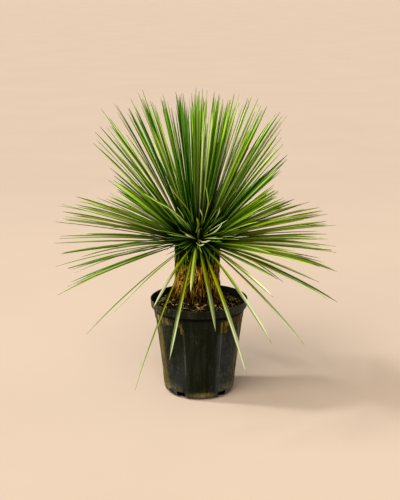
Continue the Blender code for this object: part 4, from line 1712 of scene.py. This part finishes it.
class OBJECT_OT_yucca_stage(bpy.types.Operator):
    """Set up the floor, the backdrop round it, the soft light and the camera"""

    bl_idname = "object.yucca_stage"
    bl_label = "Stage"

    def execute(self, context):
        scene = context.scene
        stage = scene.yucca_stage
        inner = circle(FLOOR_INNER_RADIUS, 0.0, FLOOR_STEPS)
        outer = circle(stage.radius, 0.0, FLOOR_STEPS)
        faces = [(0, 1 + step, 1 + (step + 1) % FLOOR_STEPS) for step in range(FLOOR_STEPS)]
        faces += [(a, beyond_a, beyond_b, b) for a, b, beyond_a, beyond_b in ring_neighbours(1)]
        add_surround("floor", [Vector(), *inner, *outer], faces, stage_finish(stage))

        outer += circle(stage.radius, stage.backdrop_height, FLOOR_STEPS)
        faces = [(a, b, above_b, above_a) for a, b, above_a, above_b in ring_neighbours(0)]
        backdrop = add_surround("backdrop", outer, faces, backdrop_finish(stage))
        backdrop.visible_shadow = False

        world = bpy.data.worlds.new("soft_sky")
        world.use_nodes = True
        background = world.node_tree.nodes["Background"]
        background.inputs["Color"].default_value = (*stage.sky, 1.0)
        background.inputs["Strength"].default_value = stage.sky_strength
        scene.world = world

        key = (stage.key, stage.key_azimuth, stage.key_elevation)
        add_sun("key_light", stage.key_strength, KEY_SPREAD, *key)
        fill = (stage.sky, stage.fill_azimuth, stage.fill_elevation)
        add_sun("fill_light", stage.fill_strength, FILL_SPREAD, *fill)

        camera = bpy.data.objects.new("camera", bpy.data.cameras.new("camera"))
        camera.location = CAMERA_PLACE
        camera.rotation_euler = (math.radians(90.0 - CAMERA_PITCH), 0.0, 0.0)
        camera.data.sensor_width = 36.0
        camera.data.lens = CAMERA_LENS
        scene.collection.objects.link(camera)
        scene.camera = camera
        scene.view_settings.view_transform = "Standard"
        return {"FINISHED"}


OPERATORS = (
    OBJECT_OT_yucca_pot,
    OBJECT_OT_yucca_soil,
    OBJECT_OT_yucca_bark,
    OBJECT_OT_yucca_rootlets,
    OBJECT_OT_yucca_trunk,
    OBJECT_OT_yucca_strips,
    OBJECT_OT_yucca_fibres,
    OBJECT_OT_yucca_leaves,
    OBJECT_OT_yucca_drooping_leaves,
    OBJECT_OT_yucca_leaf_tiers,
    OBJECT_OT_yucca_stubs,
    OBJECT_OT_yucca_heart_leaves,
    OBJECT_OT_yucca_young_leaves,
    OBJECT_OT_yucca_stage,
)


class VIEW3D_PT_yucca(bpy.types.Panel):
    """Lists the steps that build the potted yucca, with their settings"""

    bl_idname = "VIEW3D_PT_yucca"
    bl_label = "Potted Yucca"
    bl_space_type = "VIEW_3D"
    bl_region_type = "UI"
    bl_category = "Yucca"

    def draw(self, context):
        column = self.layout.column(align=True)
        for operator in OPERATORS:
            column.operator(operator.bl_idname)
        for name, settings in SETTINGS.items():
            box = self.layout.box()
            box.label(text=settings.__doc__)
            for label in settings.__annotations__:
                box.prop(getattr(context.scene, name), label)


CLASSES = (*SETTINGS.values(), *OPERATORS, VIEW3D_PT_yucca)


def register():
    """Register the settings, the operators and the panel."""
    for item in CLASSES:
        bpy.utils.register_class(item)
    for name, settings in SETTINGS.items():
        setattr(bpy.types.Scene, name, bpy.props.PointerProperty(type=settings))


def unregister():
    """Take everything back that register added."""
    for name in SETTINGS:
        delattr(bpy.types.Scene, name)
    for item in reversed(CLASSES):
        bpy.utils.unregister_class(item)


def main():
    """Register, then build every piece in order."""
    register()
    for operator in OPERATORS:
        group, name = operator.bl_idname.split(".")
        getattr(getattr(bpy.ops, group), name)()


if __name__ == "__main__":
    main()
